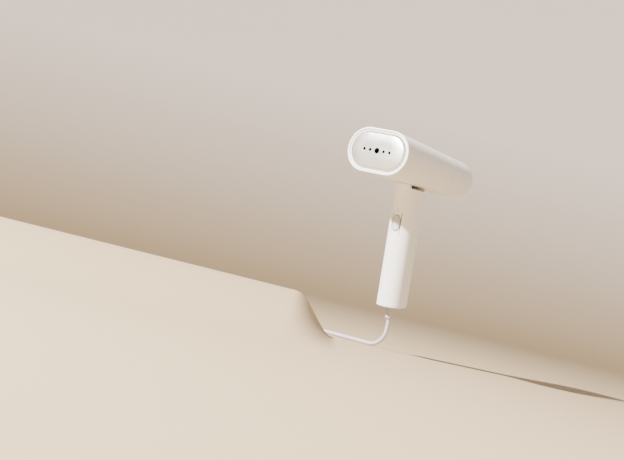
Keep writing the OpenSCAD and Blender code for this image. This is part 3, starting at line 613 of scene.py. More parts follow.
def build_back_cover():
    """Back cover: a strip of the handle's back wall, its section an outer and an inner line, with
    eased edges and two screw wells."""
    low, high = cover_span()
    half = COVER_HALF - COVER_GAP
    low, high = low + COVER_GAP, high - COVER_GAP
    x = half * np.sin(np.radians(np.linspace(-90, 90, 41)))

    def back_line(v, inset):
        bow = np.clip(np.abs(v) - (HANDLE_W / 2 - BACK_R), 0, None)
        return BACK_Y + np.sqrt((BACK_R - inset) ** 2 - bow**2)

    ease = 0.3
    outer = np.stack([x, back_line(x, 0.0)], -1)
    first = np.array([[-half, outer[0, 1] - ease]])
    last = np.array([[half, outer[-1, 1] - ease]])
    outer = np.concatenate([first, outer[1:-1] * np.array([1 - ease / half, 1]), last])
    inner = np.stack([x[::-1], back_line(x[::-1], HANDLE_WALL)], -1)
    ring = np.concatenate([outer, inner])
    levels = [(low, ease), (low + ease, 0.0)]
    levels += [(z, 0.0) for z in np.linspace(low + ease, high - ease, 30)[1:]]
    levels += [(high, ease)]
    rings = []
    for z, drop in levels:
        p = ring.copy()
        p[: len(outer), 1] -= drop
        rings.append(np.column_stack([p, np.full(len(p), z)]))
    points = in_handle(capped(np.stack(rings)))
    obj = piece("back_cover_moulding", grid("back_cover_moulding", points, sharp=40))
    wells = (high + COVER_GAP - 2.8, GRIP_FOOT + 27)
    tools = [bar_along_y(round_ring(2.4, 32), 16.0, 40.0, (0.0, z)) for z in wells]
    return cut(obj, [grid("well", in_handle(t)) for t in tools], sharp=38)


def build_button():
    """Steam button: a slot outline shrunk towards its middle, its face on a cylinder about the
    handle's nose with a rounded edge and a shallow dish, and straight walls behind."""
    radius = HANDLE_W / 2 + 1.0
    edge, back_y, dish_deep = 1.0, -13.6, 0.35

    def shrunk(inset):
        off = 2 * (BUTTON_GAP + inset)
        return stadium_ring(SLOT_W - off, SLOT_LEN - off, 32)

    def face(p, drop):
        x, z = p[:, 0], p[:, 1]
        dish = dish_deep * np.exp(-((z / 7.0) ** 2) - (x / 4.0) ** 2)
        y = NOSE_Y - np.sqrt(radius**2 - x**2) + drop + dish
        return np.stack([x, y, z + BUTTON_Z], -1)

    s, c = quarter(7)
    outline = shrunk(0.0)
    back = np.stack([outline[:, 0], np.full(len(outline), back_y), outline[:, 1] + BUTTON_Z], -1)
    rows = [back * np.array([0, 1, 0]) + np.array([0, 0, BUTTON_Z]), back]
    rows += [face(shrunk(edge * c[i]), edge * (1 - s[i])) for i in range(7)]
    inner = shrunk(edge)
    rows += [face(inner * k, 0.0) for k in np.linspace(1, 0, 12)[1:]]
    return piece("steam_button_cap", grid("steam_button_cap", in_handle(np.stack(rows)), sharp=50))


def lathe(profile, n=48):
    """Turned solid about z: a profile of radius and height carried round a circle."""
    a = np.linspace(0, 2 * np.pi, n, endpoint=False)
    r, z = np.array(profile, float).T
    height = np.broadcast_to(z[:, None], (len(z), n))
    return np.stack([r[:, None] * np.cos(a), r[:, None] * np.sin(a), height], -1)


def build_relief(settings):
    """Strain relief: a turned taper with fine flex grooves and a hole for the cord."""
    foot, out, tip_r = GRIP_FOOT, 16.0, 1.2
    wide, narrow = 5.5, 4.7
    bore = settings.sizes.cord_diameter / MM / 2 + 0.05
    z = np.linspace(0, -out + tip_r, 60)
    radius = wide + (narrow - wide) * (z / (-out))
    groove = 0.22 * np.exp(-(((z + 3.2) % 3.0 - 1.5) / 0.35) ** 2) * (z < -2.4) * (z > -out + 3.0)
    a = np.linspace(0, np.pi / 2, 6)
    profile = [(bore, foot + 8), (narrow, foot + 8), (narrow, foot)]
    profile += [(rr - g, foot + zz) for rr, g, zz in zip(radius, groove, z)]
    tip = radius[-1]
    profile += [(tip - tip_r * (1 - math.cos(t)), foot - out + tip_r - tip_r * math.sin(t)) for t in a[1:]]
    profile += [(bore, foot - out)]
    points = in_handle(lathe(profile))
    return piece("strain_relief_boot", grid("strain_relief_boot", points, ring_rows=True, sharp=50))


# ---- cord: the route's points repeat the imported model's ----

EXIT_Y = 95 * math.sin(LEAN)
EXIT_Z = -95 * math.cos(LEAN)
COIL_X, COIL_Y = -126.0, -24.0
COIL_R = 29.2
LAYER_GAP = 5.2
STRAP_TURN = math.radians(140)
COIL_FLOOR = FLOOR_Z + 1.0
COIL_TOP = COIL_FLOOR + 15.6
PLUG_Y = COIL_Y + 23.5
PLUG_Z = COIL_TOP + 7.5
SLEEVE_X = COIL_X + 6.0
DROP = [(0, -1.6, 9.9), (0, 0, 0), (0.2, 0.8, -5), (0.3, 1.4, -10), (0.1, 1.7, -15)]
BEND = [
    (-0.7, 16.7, 15.6), (-2.8, 16.7, 10.5), (-6.2, 16.7, 6.2),
    (-10.5, 16.7, 2.8), (-15.6, 16.7, 0.7), (-21, 16.7, 0),
]
RUN = [
    (-29, 16.6), (-38, 16.2), (-47, 15.2), (-56, 13.8), (-65, 12.4), (-74, 11.2),
    (-83, 10.4), (-92, 10), (-101, 9.9), (-110, 10), (-118, 10.3),
]


def coil_points(step=10.0):
    """Coil: turns of constant radius and height, with a smooth shift to the next place in the
    same sector of every turn: in along the bottom layer, out along the middle one, in on top."""
    angle = np.arange(90.0, 3246.0, step)
    radii = COIL_R + LAYER_GAP * np.array([1, 0, -1, -1, 0, 1, 1, 0, -1])
    layers = np.array([0, 0, 0, 1, 1, 1, 2, 2, 2]) * LAYER_GAP + COIL_FLOOR + LAYER_GAP / 2
    shift = smoothstep((angle[:, None] - (260 + 360 * np.arange(8))) / 120)
    radius = radii[0] + shift @ np.diff(radii)
    height = layers[0] + shift @ np.diff(layers)
    a = np.radians(angle)
    return np.stack([COIL_X + radius * np.cos(a), COIL_Y + radius * np.sin(a), height], -1)


def cord_route(diameter):
    """Points of the whole lead, from inside the strain relief to the plug."""
    lie = FLOOR_Z + diameter / 2
    drop = [(x, EXIT_Y + y, EXIT_Z + z) for x, y, z in DROP]
    bend = [(x, y, lie + z) for x, y, z in BEND]
    run = [(x, y, lie) for x, y in RUN]
    tail = [
        (COIL_X + 23.2, COIL_Y + 7, COIL_TOP - 1.6), (COIL_X + 21, COIL_Y + 12, COIL_TOP + 0.4),
        (COIL_X + 17.6, COIL_Y + 16.6, COIL_TOP + 3), (COIL_X + 13.4, COIL_Y + 20.2, COIL_TOP + 5.4),
        (COIL_X + 9.4, PLUG_Y - 1.1, COIL_TOP + 7), (SLEEVE_X, PLUG_Y - 0.1, PLUG_Z),
    ]
    return np.concatenate([np.array(drop + bend + run), coil_points(), np.array(tail)])


def smooth_route(p, n):
    """Catmull-Rom curve through the points, n spans between neighbours."""
    padded = np.concatenate([p[:1], p, p[-1:]])
    a, b, c, d = padded[:-3], padded[1:-2], padded[2:-1], padded[3:]
    t = (np.arange(n) / n)[None, :, None]
    a, b, c, d = (q[:, None] for q in (a, b, c, d))
    q = 0.5 * (2 * b + (c - a) * t + (2 * a - 5 * b + 4 * c - d) * t**2 + (3 * b - a - 3 * c + d) * t**3)
    return np.concatenate([q.reshape(-1, 3), p[-1:]])


def build_cord(settings):
    """Mains lead: a circle carried along the route. Its sideways direction turns from y, where the
    lead drops and bends, to z, where it lies and is wound."""
    diameter = settings.sizes.cord_diameter / MM
    line = smooth_route(cord_route(diameter), 3)
    along = frames_from(line)
    turn = smoothstep((-30 - line[:, 0]) / 40) * np.pi / 2
    turn[int(np.argmax(line[:, 0] < -75)) :] = np.pi / 2
    ref = np.stack([np.zeros_like(turn), np.cos(turn), np.sin(turn)], -1)
    side = np.cross(along, ref)
    side /= np.linalg.norm(side, axis=1, keepdims=True)
    up = np.cross(side, along)
    a = np.linspace(0, 2 * np.pi, settings.sizes.cord_sides, endpoint=False)
    rings = line[:, None] + diameter / 2 * (
        side[:, None] * np.cos(a)[None, :, None] + up[:, None] * np.sin(a)[None, :, None]
    )
    obj = piece("mains_lead", grid("mains_lead", capped(rings), sharp=70))
    length = float(np.linalg.norm(np.diff(line, axis=0), axis=1).sum())
    return obj, line * MM, length * MM


def build_tie():
    """Strap round the coil: a rounded rectangle carried round the coil's section, flat and wide."""
    width, height, thick, wide = 17.0, 15.8, 0.8, 8.0
    a = np.linspace(0, 2 * np.pi, 72, endpoint=False)
    squareness = 0.35

    def loop(grow):
        x = (width / 2 + grow) * np.sign(np.cos(a)) * np.abs(np.cos(a)) ** squareness
        z = (height / 2 + grow) * np.sign(np.sin(a)) * np.abs(np.sin(a)) ** squareness
        return x, z

    half, ease = wide / 2, 0.2
    rows = []
    for grow, y in (
        (0, -half), (thick, -half + ease), (thick, 0), (thick, half - ease), (0, half), (0, 0),
    ):
        x, z = loop(grow)
        rows.append(np.stack([x - COIL_R, np.full_like(x, y), z + height / 2 - 0.1], -1))
    c, s = math.cos(STRAP_TURN), math.sin(STRAP_TURN)
    spin = np.array([[c, -s, 0], [s, c, 0], [0, 0, 1]])
    points = np.stack(rows) @ spin.T + np.array([COIL_X, COIL_Y, COIL_FLOOR])
    return piece("cord_strap", grid("cord_strap", points, ring_rows=True, sharp=40))


def build_plug():
    """Plug: superellipses from a round sleeve to a wide body, with finger grooves and a rounded face."""
    sleeve_end, body_start, body_end = 12, 17, 32
    body_wide, body_high = 16, 7.5
    along = np.concatenate([
        np.linspace(0, sleeve_end, 14),
        np.linspace(sleeve_end, body_start, 12)[1:],
        np.linspace(body_start, body_end, 40)[1:],
    ])
    grow = smoothstep((along - 11.5) / 5.5)
    sleeve = 4 + 1.5 * along / sleeve_end
    wide = sleeve * (1 - grow) + body_wide * grow
    high = sleeve * (1 - grow) + body_high * grow
    power = 2 + 1.0 * grow
    dent = 0.45 * (0.5 - 0.5 * np.cos(2 * np.pi * (along - 19) / 2.4)) * (along > 19) * (along < 28.6)
    s, c = quarter(7)
    tip = 2.0
    along = np.concatenate([along, body_end + tip * s[1:]])
    wide = np.concatenate([wide - dent, body_wide - tip * c[1:]])
    high = np.concatenate([high - dent * 0.4, body_high - tip * c[1:]])
    power = np.concatenate([power, np.full(6, 3.0)])
    a = np.linspace(0, 2 * np.pi, 72, endpoint=False)[None]
    ca, sa = np.cos(a), np.sin(a)
    e = (2 / power)[:, None]
    y = wide[:, None] * np.sign(ca) * np.abs(ca) ** e
    z = high[:, None] * np.sign(sa) * np.abs(sa) ** e
    x = np.broadcast_to(-along[:, None], y.shape)
    points = capped(np.stack([x, y, z], -1)) + np.array([SLEEVE_X, PLUG_Y, PLUG_Z])
    return piece("plug_moulding", grid("plug_moulding", points, sharp=50))


def build_pins():
    """Plug pins: turned rods with a rounded tip and a thin collar line."""
    s, c = quarter(6)
    tip, pin_r, half_pitch = 1.0, 2.4, 9.5
    profile = [(0, -5.0), (1.9, -5.0), (1.9, 0.0), (pin_r, 0.0)]
    profile += [(pin_r, 8.6), (2.3, 8.8), (2.3, 9.0), (pin_r, 9.2)]
    profile += [(pin_r - tip * c[i], 18.0 + tip * s[i]) for i in range(6)] + [(0, 19.0)]
    rod = lathe(profile, 32)
    solid = np.stack([-rod[..., 2], rod[..., 0], rod[..., 1]], -1)
    root = np.array([SLEEVE_X - 34, PLUG_Y, PLUG_Z])
    meshes = [grid("pin", solid + root + np.array([0, y, 0])) for y in (-half_pitch, half_pitch)]
    bm = bmesh.new()
    for mesh in meshes:
        bm.from_mesh(mesh)
    joined = bpy.data.meshes.new("plug_pin_pair")
    bm.to_mesh(joined)
    bm.free()
    joined.shade_smooth()
    joined.set_sharp_from_angle(angle=math.radians(40))
    return piece("plug_pin_pair", joined)


# ---- materials ----


def add(tree, kind, links=None, **settings):
    """Adds a node with its settings, and links or sets its inputs."""
    node = tree.nodes.new(kind)
    for name, value in settings.items():
        setattr(node, name, value)
    for name, value in (links or {}).items():
        socket = node.inputs[name]
        if isinstance(value, bpy.types.NodeSocket):
            tree.links.new(value, socket)
        else:
            socket.default_value = value
    return node


def surface(name, base, roughness, **sockets):
    """A material with a Principled surface; returns the material, its tree and its shader."""
    material = bpy.data.materials.new(name)
    material.use_nodes = True
    tree = material.node_tree
    tree.nodes.clear()
    shader = add(tree, "ShaderNodeBsdfPrincipled", {"Base Color": (*base, 1), "Roughness": roughness})
    for socket, value in sockets.items():
        shader.inputs[socket.replace("_", " ")].default_value = value
    out = add(tree, "ShaderNodeOutputMaterial")
    tree.links.new(shader.outputs["BSDF"], out.inputs["Surface"])
    return material, tree, shader


def per_mm(size):
    """Noise scale that gives one grain for each size in millimetres, on coordinates in metres."""
    return 1 / (size * MM)


def grain(tree, shader, size, height, rough_low, rough_high, drift=30.0, stretch=(1, 1, 1)):
    """Fine grain as bump, and slow patches of roughness, both on Object coordinates."""
    where = add(tree, "ShaderNodeTexCoord")
    place = add(tree, "ShaderNodeMapping", {"Vector": where.outputs["Object"], "Scale": stretch})
    fine = add(
        tree, "ShaderNodeTexNoise",
        {"Vector": place.outputs["Vector"], "Scale": per_mm(size), "Detail": 3.0},
    )
    slow = add(
        tree, "ShaderNodeTexNoise",
        {"Vector": where.outputs["Object"], "Scale": per_mm(drift), "Detail": 4.0},
    )
    bump = add(
        tree, "ShaderNodeBump",
        {"Height": fine.outputs["Fac"], "Distance": height * MM, "Strength": 1.0},
    )
    tree.links.new(bump.outputs["Normal"], shader.inputs["Normal"])
    rough = add(
        tree, "ShaderNodeMapRange",
        {
            "Value": slow.outputs["Fac"], "From Min": 0.35, "From Max": 0.65,
            "To Min": rough_low, "To Max": rough_high,
        },
    )
    tree.links.new(rough.outputs["Result"], shader.inputs["Roughness"])
    return where, slow


def tint(tree, shader, factor, dark, light):
    """Colour that moves between two shades with a factor."""
    mix = add(tree, "ShaderNodeMix", {"Factor": factor}, data_type="RGBA")
    colours = [s for s in mix.inputs if s.type == "RGBA"]
    colours[0].default_value = (*dark, 1)
    colours[1].default_value = (*light, 1)
    result = [s for s in mix.outputs if s.type == "RGBA"][0]
    tree.links.new(result, shader.inputs["Base Color"])


def shade(base, k):
    """A colour made darker or lighter by a factor."""
    return tuple(min(1.0, c * k) for c in base)


def moulded_abs(settings):
    """ABS from a spark-eroded mould: a soft satin sheen over very fine grain."""
    base = tuple(settings.colours.shell)
    material, tree, shader = surface("satin_moulded_abs", base, 0.36, IOR=1.53, Subsurface_Weight=0.06)
    shader.inputs["Subsurface Radius"].default_value = (0.0012, 0.0010, 0.0008)
    _, slow = grain(tree, shader, settings.sizes.grain / MM, 0.006, 0.34, 0.42)
    tint(tree, shader, slow.outputs["Fac"], shade(base, 0.985), base)
    return material


def milky_tank(settings):
    """Moulded translucent polypropylene: milky, so light spreads in it, with a smoother surface."""
    base = tuple(settings.colours.tank)
    material, tree, shader = surface("milky_polypropylene", base, 0.30, IOR=1.49, Subsurface_Weight=0.55)
    shader.inputs["Subsurface Radius"].default_value = (0.014, 0.014, 0.015)
    _, slow = grain(tree, shader, 0.9, 0.004, 0.27, 0.34)
    tint(tree, shader, slow.outputs["Fac"], shade(base, 0.98), base)
    return material


def bezel_abs(settings):
    """Heat-proof moulded nylon: slightly greyer and more matt than the shell."""
    base = tuple(settings.colours.bezel)
    material, tree, shader = surface("heatproof_nylon", base, 0.45, IOR=1.53)
    _, slow = grain(tree, shader, 0.7, 0.008, 0.42, 0.5)
    tint(tree, shader, slow.outputs["Fac"], shade(base, 0.97), base)
    return material


def coated_plate(settings):
    """Die-cast aluminium, bead-blasted and coated: a metal with a wide soft reflection."""
    base = tuple(settings.colours.plate)
    material, tree, shader = surface("blasted_aluminium", base, 0.36, Metallic=0.92)
    _, slow = grain(tree, shader, 0.5, 0.006, 0.33, 0.40, drift=14.0)
    tint(tree, shader, slow.outputs["Fac"], shade(base, 0.97), base)
    return material


def soft_pvc(settings, name="soft_pvc", k=1.0, rough=0.5):
    """Extruded soft PVC: matt and slightly waxy, with faint drag marks."""
    base = shade(tuple(settings.colours.cord), k)
    material, tree, shader = surface(name, base, rough, IOR=1.53, Subsurface_Weight=0.05)
    shader.inputs["Subsurface Radius"].default_value = (0.001, 0.0008, 0.0008)
    _, slow = grain(tree, shader, 1.1, 0.02, rough - 0.05, rough + 0.06, drift=12.0)
    tint(tree, shader, slow.outputs["Fac"], shade(base, 0.93), base)
    return material


def plastic(name, code, rough, size=0.8, height=0.01, ior=1.53, k=0.95, **sockets):
    """Moulded plastic or rubber of one colour, given as a hex value or a colour setting, with fine
    grain."""
    base = linear(code) if isinstance(code, str) else tuple(code)
    material, tree, shader = surface(name, base, rough, IOR=ior, **sockets)
    _, slow = grain(tree, shader, size, height, max(0.02, rough - 0.05), min(1, rough + 0.06), drift=15.0)
    tint(tree, shader, slow.outputs["Fac"], shade(base, k), base)
    return material


def metal(name, code, rough, size=0.4, height=0.01, stretch=(1, 1, 1), k=0.92):
    """Bare metal with turned, cast or rolled grain."""
    base = linear(code)
    material, tree, shader = surface(name, base, rough, Metallic=1.0)
    _, slow = grain(
        tree, shader, size, height, max(0.05, rough - 0.07), rough + 0.08, drift=10.0, stretch=stretch
    )
    tint(tree, shader, slow.outputs["Fac"], shade(base, k), base)
    return material


def woven_strap():
    """Woven hook-and-loop strap: crossing threads 0.8 mm apart, drawn coarser than real so they show."""
    base = linear("#8d8790")
    material, tree, shader = surface("woven_strap", base, 0.85, IOR=1.5)
    shader.inputs["Sheen Weight"].default_value = 0.4
    where = add(tree, "ShaderNodeTexCoord")
    waves = [
        add(
            tree, "ShaderNodeTexWave",
            {"Vector": where.outputs["Object"], "Scale": per_mm(0.8) / 6.3, "Distortion": 0.6},
            bands_direction=axis,
        )
        for axis in ("DIAGONAL", "Z")
    ]
    both = add(
        tree, "ShaderNodeMath", {0: waves[0].outputs["Fac"], 1: waves[1].outputs["Fac"]},
        operation="MULTIPLY",
    )
    bump = add(tree, "ShaderNodeBump", {"Height": both.outputs["Value"], "Distance": 0.15 * MM})
    tree.links.new(bump.outputs["Normal"], shader.inputs["Normal"])
    # The colour follows the weave's height: painted shade in the hollows between the threads and a painted
    # highlight on their crests.
    tint(tree, shader, both.outputs["Value"], shade(base, 0.7), shade(base, 1.1))
    return material


def circuit_board():
    """Glass-epoxy board under solder mask: green with fine brighter tracks."""
    dark, light = linear("#2f5f3a"), linear("#4f8a5c")
    material, tree, shader = surface("solder_mask", dark, 0.35, IOR=1.5)
    where = add(tree, "ShaderNodeTexCoord")
    tracks = add(
        tree, "ShaderNodeTexVoronoi",
        {"Vector": where.outputs["Object"], "Scale": per_mm(4.0)},
        distance="MANHATTAN", feature="DISTANCE_TO_EDGE",
    )
    edge = add(tree, "ShaderNodeMath", {0: tracks.outputs["Distance"], 1: 0.08}, operation="LESS_THAN")
    tint(tree, shader, edge.outputs["Value"], dark, light)
    return material


def clear_lens():
    """Polycarbonate lens: clear, slightly green and diffusing."""
    material, tree, shader = surface("frosted_polycarbonate", linear("#d7e6d6"), 0.35, IOR=1.58)
    shader.inputs["Transmission Weight"].default_value = 0.5
    grain(tree, shader, 0.5, 0.01, 0.3, 0.4)
    return material


def studio_paper(settings):
    """Seamless matt studio paper that turns paler up the wall, with the faintest unevenness."""
    base = tuple(settings.colours.floor)
    material, tree, shader = surface("studio_paper", base, 0.9)
    shader.inputs["Specular IOR Level"].default_value = 0.2
    where, _ = grain(tree, shader, 3.0, 0.02, 0.88, 0.94, drift=900.0)
    axes = add(tree, "ShaderNodeSeparateXYZ", {"Vector": where.outputs["Object"]})
    height = add(tree, "ShaderNodeMapRange", {"Value": axes.outputs["Z"], "From Min": -0.1, "From Max": 0.7})
    tint(tree, shader, height.outputs["Result"], base, tuple(settings.colours.wall))
    return material


NODE_FINISH = {
    "hinge_lug": "bracket", "handle_foot": "shell", "filler_lid": "tank", "filler_plug": "seal_pale",
    "plate_gasket": "silicone", "spigot_seal": "silicone", "dock_seal": "rubber",
    "steam_chamber": "cast", "heating_element": "steel", "element_terminals": "brass",
    "thermostat": "bakelite", "thermal_fuse": "tin", "heat_shield": "rolled", "chamber_screws": "screw",
    "water_hose": "hose", "inlet_hose": "hose", "pump_can": "zinc", "pump_core": "nylon",
    "pump_bracket": "nylon", "dock_bulkhead": "nylon", "hinge_screws": "screw", "tank_spigot": "nylon",
    "lid_pin": "steel", "hinge_pin": "steel", "hinge_washers": "brass", "button_plunger": "bakelite",
    "micro_switch": "bakelite", "control_board": "board", "terminal_block": "nylon",
    "indicator_lens": "lens", "board_screws": "screw", "cover_screws": "screw", "cord_clamp": "nylon",
    "clamp_screws": "screw",
}


def node_materials():
    """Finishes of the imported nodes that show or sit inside."""
    return {
        # The hinge lug is nylon, and its warm grey, darker than the shell, is painted shade for the gap
        # between head and handle.
        "bracket": plastic("lug_nylon_painted_shade", "#aaa098", 0.55),
        "seal_pale": plastic("pale_silicone", "#d9d7d3", 0.55, Subsurface_Weight=0.1),
        "silicone": plastic("red_silicone", "#b9573a", 0.6, Subsurface_Weight=0.1),
        "rubber": plastic("black_nitrile", "#3a3a3c", 0.7),
        "cast": metal("cast_aluminium", "#b4b6b8", 0.5, size=1.2, height=0.06),
        "steel": metal("drawn_steel", "#a6a9ac", 0.28, size=0.5, stretch=(0.15, 1, 1)),
        "brass": metal("stamped_brass", "#c7a768", 0.3),
        "bakelite": plastic("dark_thermoset", "#3f4145", 0.45),
        "tin": metal("tinned_case", "#cfcfd2", 0.25),
        "rolled": metal("rolled_aluminium", "#b8bbbe", 0.35, size=0.4, stretch=(0.1, 1, 1)),
        "screw": metal("zinc_plated_screw", "#b2b4b8", 0.3),
        "hose": plastic("silicone_hose", "#e8e6df", 0.4, ior=1.43, Subsurface_Weight=0.2),
        "zinc": metal("plated_pump_can", "#8b9094", 0.35, size=0.6),
        "nylon": plastic("natural_nylon", "#e6e4de", 0.45, Subsurface_Weight=0.1),
        "board": circuit_board(),
        "lens": clear_lens(),
    }


# ---- stage ----

VIEW_RIGHT = np.array([0.802503, 0.545552, 0.241581])
VIEW_UP = np.array([-0.183228, -0.159991, 0.969964])
VIEW_BACK = np.array([0.567817, -0.822664, -0.028433])
VIEW_FROM = np.array([0.97172, -1.60424, -0.06311])
VIEW_LENS = 86.54
FLOOR_MIDDLE = (-60.0, -20.0)

# the key light's direction, and its distance and size in metres
KEY_TRAVEL = (0.28, 1.0, -0.62)
KEY_DISTANCE = 3.0
KEY_SIZE = 0.14
KEY_POWER = 560.0
SKY_STRENGTH = 0.45


def build_camera():
    """Long lens, slightly below the head, turned so that the handle leans in the view."""
    data = bpy.data.cameras.new("camera")
    data.lens = VIEW_LENS
    data.sensor_width = 36.0
    data.clip_end = 50.0
    camera = bpy.data.objects.new("camera", data)
    matrix = np.eye(4)
    matrix[:3, 0], matrix[:3, 1], matrix[:3, 2], matrix[:3, 3] = VIEW_RIGHT, VIEW_UP, VIEW_BACK, VIEW_FROM
    camera.matrix_world = Matrix(matrix.tolist())
    bpy.context.scene.collection.objects.link(camera)
    bpy.context.scene.camera = camera


def swell(x, y, height):
    """Height of the floor's soft swell: a smooth step across times a raised cosine along the view."""
    across = 0.8025 * x + 0.5456 * y
    toward = 0.5678 * x - 0.8227 * y
    start, ramp, crest, end, end_ramp = -51.0, 58.0, 44.0, -900.0, 300.0
    rise = smoothstep((start - across) / ramp)
    reach = np.where(toward > crest, 420.0, 54.0)
    ridge = np.cos(np.clip((toward - crest) / reach, -1, 1) * np.pi / 2) ** 2
    fade = smoothstep((across - end) / end_ramp)
    return height * rise * ridge * fade


def build_floor(settings):
    """Round studio: a flat floor, a quarter-circle cove and a wall, with a finer patch near the
    object that carries the swell. Radii grow evenly from the middle."""
    radius = settings.sizes.floor_size / MM
    height = settings.sizes.swell_height / MM
    r = np.concatenate([np.linspace(0, 420, 170), np.geomspace(430, radius, 26)])
    a = np.linspace(0, 2 * np.pi, 420, endpoint=False)
    x, y = r[:, None] * np.cos(a) + FLOOR_MIDDLE[0], r[:, None] * np.sin(a) + FLOOR_MIDDLE[1]
    flat = np.stack([x, y, FLOOR_Z + swell(x, y, height)], -1)
    bend = np.radians(np.linspace(0, 90, 16))[1:]
    cove_r = 1300.0
    wall_r = np.concatenate([radius + cove_r * np.sin(bend), np.full(3, radius + cove_r)])
    wall_z = np.concatenate([cove_r * (1 - np.cos(bend)), cove_r + np.array([700.0, 1500.0, 2600.0])])
    cove = np.stack([
        wall_r[:, None] * np.cos(a) + FLOOR_MIDDLE[0],
        wall_r[:, None] * np.sin(a) + FLOOR_MIDDLE[1],
        np.broadcast_to(FLOOR_Z + wall_z[:, None], (len(wall_r), len(a))),
    ], -1)
    points = np.concatenate([flat, cove])
    mesh = bpy.data.meshes.new("studio_floor")
    rows, columns = points.shape[:2]
    index = np.arange(rows * columns).reshape(rows, columns)
    quads = np.stack(
        [index[:-1], index[1:], np.roll(index[1:], -1, 1), np.roll(index[:-1], -1, 1)], -1
    ).reshape(-1, 4)
    mesh.from_pydata(points.reshape(-1, 3) * MM, [], quads.tolist())
    finish_mesh(mesh, 60, outward=False)
    return piece("studio_floor", mesh, studio_paper(settings))


def build_lights():
    """A small key light high on the left of the plate and a pale surround above the studio."""
    travel = np.array(KEY_TRAVEL)
    travel /= np.linalg.norm(travel)
    key = bpy.data.lights.new("key", "AREA")
    key.shape = "DISK"
    key.size = KEY_SIZE
    key.energy = KEY_POWER
    key.color = linear("#fffaf4")
    lamp = bpy.data.objects.new("key", key)
    side = np.cross([0, 0, 1.0], -travel)
    side /= np.linalg.norm(side)
    axes = np.eye(4)
    axes[:3, 0], axes[:3, 1], axes[:3, 2] = side, np.cross(-travel, side), -travel
    axes[:3, 3] = RIM * MM - travel * KEY_DISTANCE
    lamp.matrix_world = Matrix(axes.tolist())
    bpy.context.scene.collection.objects.link(lamp)
    world = bpy.data.worlds.new("studio")
    world.use_nodes = True
    tree = world.node_tree
    tree.nodes.clear()
    glow = add(tree, "ShaderNodeBackground", {"Color": (*linear("#e9ecf2"), 1), "Strength": SKY_STRENGTH})
    out = add(tree, "ShaderNodeOutputWorld")
    tree.links.new(glow.outputs["Background"], out.inputs["Surface"])
    bpy.context.scene.world = world


# ---- operators ----


def kept(name, make):
    """A material made once and found again by the operators that share it."""
    store = bpy.context.scene.get("steamer_materials", {})
    if name in store and store[name] in bpy.data.materials:
        return bpy.data.materials[store[name]]
    material = make()
    known = dict(store)
    known[name] = material.name
    bpy.context.scene["steamer_materials"] = known
    return material


def dress(obj, material, body, slot, *nodes):
    """Gives a new piece its material and body, and hides the nodes that it stands for. The slot is not used.
    """
    obj.data.materials.clear()
    obj.data.materials.append(material)
    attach(obj, body)
    if nodes:
        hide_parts(*nodes)
    return obj


class STEAMER_OT_stage(bpy.types.Operator):
    """Build the camera, floor and lights"""

    bl_idname = "steamer.stage"
    bl_label = "Stage"

    def execute(self, context):
        build_camera()
        build_floor(context.scene.steamer)
        build_lights()
        return {"FINISHED"}


class STEAMER_OT_cord(bpy.types.Operator):
    """Build the lead with its coil, strap, plug and strain relief"""

    bl_idname = "steamer.cord"
    bl_label = "Cord and plug"

    def execute(self, context):
        settings = context.scene.steamer
        pvc = kept("pvc", lambda: soft_pvc(settings))
        boot = kept("boot", lambda: soft_pvc(settings, "moulded_boot_pvc", 0.96, 0.46))
        lead, path, length = build_cord(settings)
        dress(lead, pvc, "handle", "cord_grey", "power_cord", "cord_coil", "cord_tail")
        relief = dress(build_relief(settings), boot, "handle", "cord_grey", "strain_relief")
        strap = dress(build_tie(), woven_strap(), "handle", "tie_grey", "cord_tie")
        plug = dress(build_plug(), boot, "handle", "cord_grey", "plug_body")
        nickel = metal("nickel_plated_brass", "#d9cfae", 0.22, size=0.5)
        pins = dress(build_pins(), nickel, "handle", "pin_metal", "plug_pins")
        return {"FINISHED"}


class STEAMER_OT_head(bpy.types.Operator):
    """Build the front shell, the bezel and the steam plate"""

    bl_idname = "steamer.head"
    bl_label = "Head and plate"

    def execute(self, context):
        settings = context.scene.steamer
        shell = kept("shell", lambda: moulded_abs(settings))
        dress(build_head_shell(settings), shell, "head", "shell_white", "head_shell")
        dress(build_bezel(), bezel_abs(settings), "head", "frame_grey", "plate_frame")
        plate = dress(build_plate(), coated_plate(settings), "head", "plate_silver", "steam_plate")
        # The walls of the steam holes get a near-black finish: painted shade inside the holes.
        plate.data.materials.append(plastic("steam_hole_painted_shade", "#1b1b1c", 0.8))
        mark_faces(plate, in_steam_holes)
        return {"FINISHED"}


class STEAMER_OT_tank(bpy.types.Operator):
    """Build the water tank"""

    bl_idname = "steamer.tank"
    bl_label = "Water tank"

    def execute(self, context):
        settings = context.scene.steamer
        milky = kept("tank", lambda: milky_tank(settings))
        dress(build_tank(), milky, "tank", "tank_white", "water_tank")
        return {"FINISHED"}


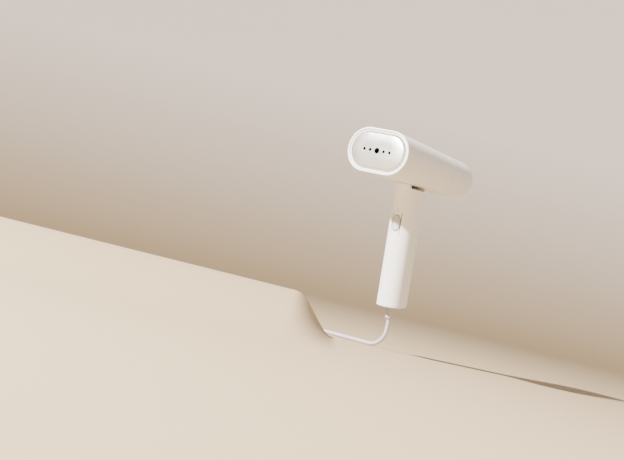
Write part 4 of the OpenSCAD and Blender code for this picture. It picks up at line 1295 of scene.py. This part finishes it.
class STEAMER_OT_handle(bpy.types.Operator):
    """Build the handle, its back cover and the steam button"""

    bl_idname = "steamer.handle"
    bl_label = "Handle and button"

    def execute(self, context):
        settings = context.scene.steamer
        shell = kept("shell", lambda: moulded_abs(settings))
        handle = dress(build_handle(), shell, "handle", "shell_white", "handle_shell")
        # The walls of the button slot get a dark grey finish: painted shade in the gap round the button.
        handle.data.materials.append(plastic("button_slot_painted_shade", "#3c3e42", 0.5))
        mark_faces(handle, in_button_slot)
        dress(build_back_cover(), shell, "handle", "shell_white", "handle_back_cover")
        grey = plastic("button_abs", settings.colours.button, 0.42, size=0.5, height=0.008)
        dress(build_button(), grey, "button", "button_grey", "steam_button")
        return {"FINISHED"}


class STEAMER_OT_nodes(bpy.types.Operator):
    """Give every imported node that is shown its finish"""

    bl_idname = "steamer.nodes"
    bl_label = "Inner parts"

    def execute(self, context):
        settings = context.scene.steamer
        finishes = node_materials()
        finishes["shell"] = kept("shell", lambda: moulded_abs(settings))
        finishes["tank"] = kept("tank", lambda: milky_tank(settings))
        for name, finish in NODE_FINISH.items():
            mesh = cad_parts[name].data
            mesh.materials.clear()
            mesh.materials.append(finishes[finish])
        return {"FINISHED"}


class STEAMER_PT_panel(bpy.types.Panel):
    """Lists the steamer's build steps and settings"""

    bl_idname = "STEAMER_PT_panel"
    bl_label = "Garment Steamer"
    bl_space_type = "VIEW_3D"
    bl_region_type = "UI"
    bl_category = "Steamer"

    def draw(self, context):
        layout = self.layout
        for operator in OPERATORS:
            layout.operator(operator.bl_idname)
        for group in (context.scene.steamer.sizes, context.scene.steamer.colours):
            for name in group.__annotations__:
                layout.prop(group, name)


OPERATORS = (
    STEAMER_OT_stage, STEAMER_OT_cord, STEAMER_OT_head, STEAMER_OT_tank, STEAMER_OT_handle, STEAMER_OT_nodes,
)
CLASSES = (SteamerSizes, SteamerColours, SteamerSettings) + OPERATORS + (STEAMER_PT_panel,)


def register():
    """Registers the classes and the scene's settings."""
    for cls in CLASSES:
        bpy.utils.register_class(cls)
    bpy.types.Scene.steamer = PointerProperty(type=SteamerSettings)


def unregister():
    """Removes the settings and the classes."""
    del bpy.types.Scene.steamer
    for cls in reversed(CLASSES):
        bpy.utils.unregister_class(cls)


def main():
    """Builds everything in order."""
    register()
    bpy.ops.steamer.stage()
    bpy.ops.steamer.cord()
    bpy.ops.steamer.head()
    bpy.ops.steamer.tank()
    bpy.ops.steamer.handle()
    bpy.ops.steamer.nodes()


if __name__ == "__main__":
    main()
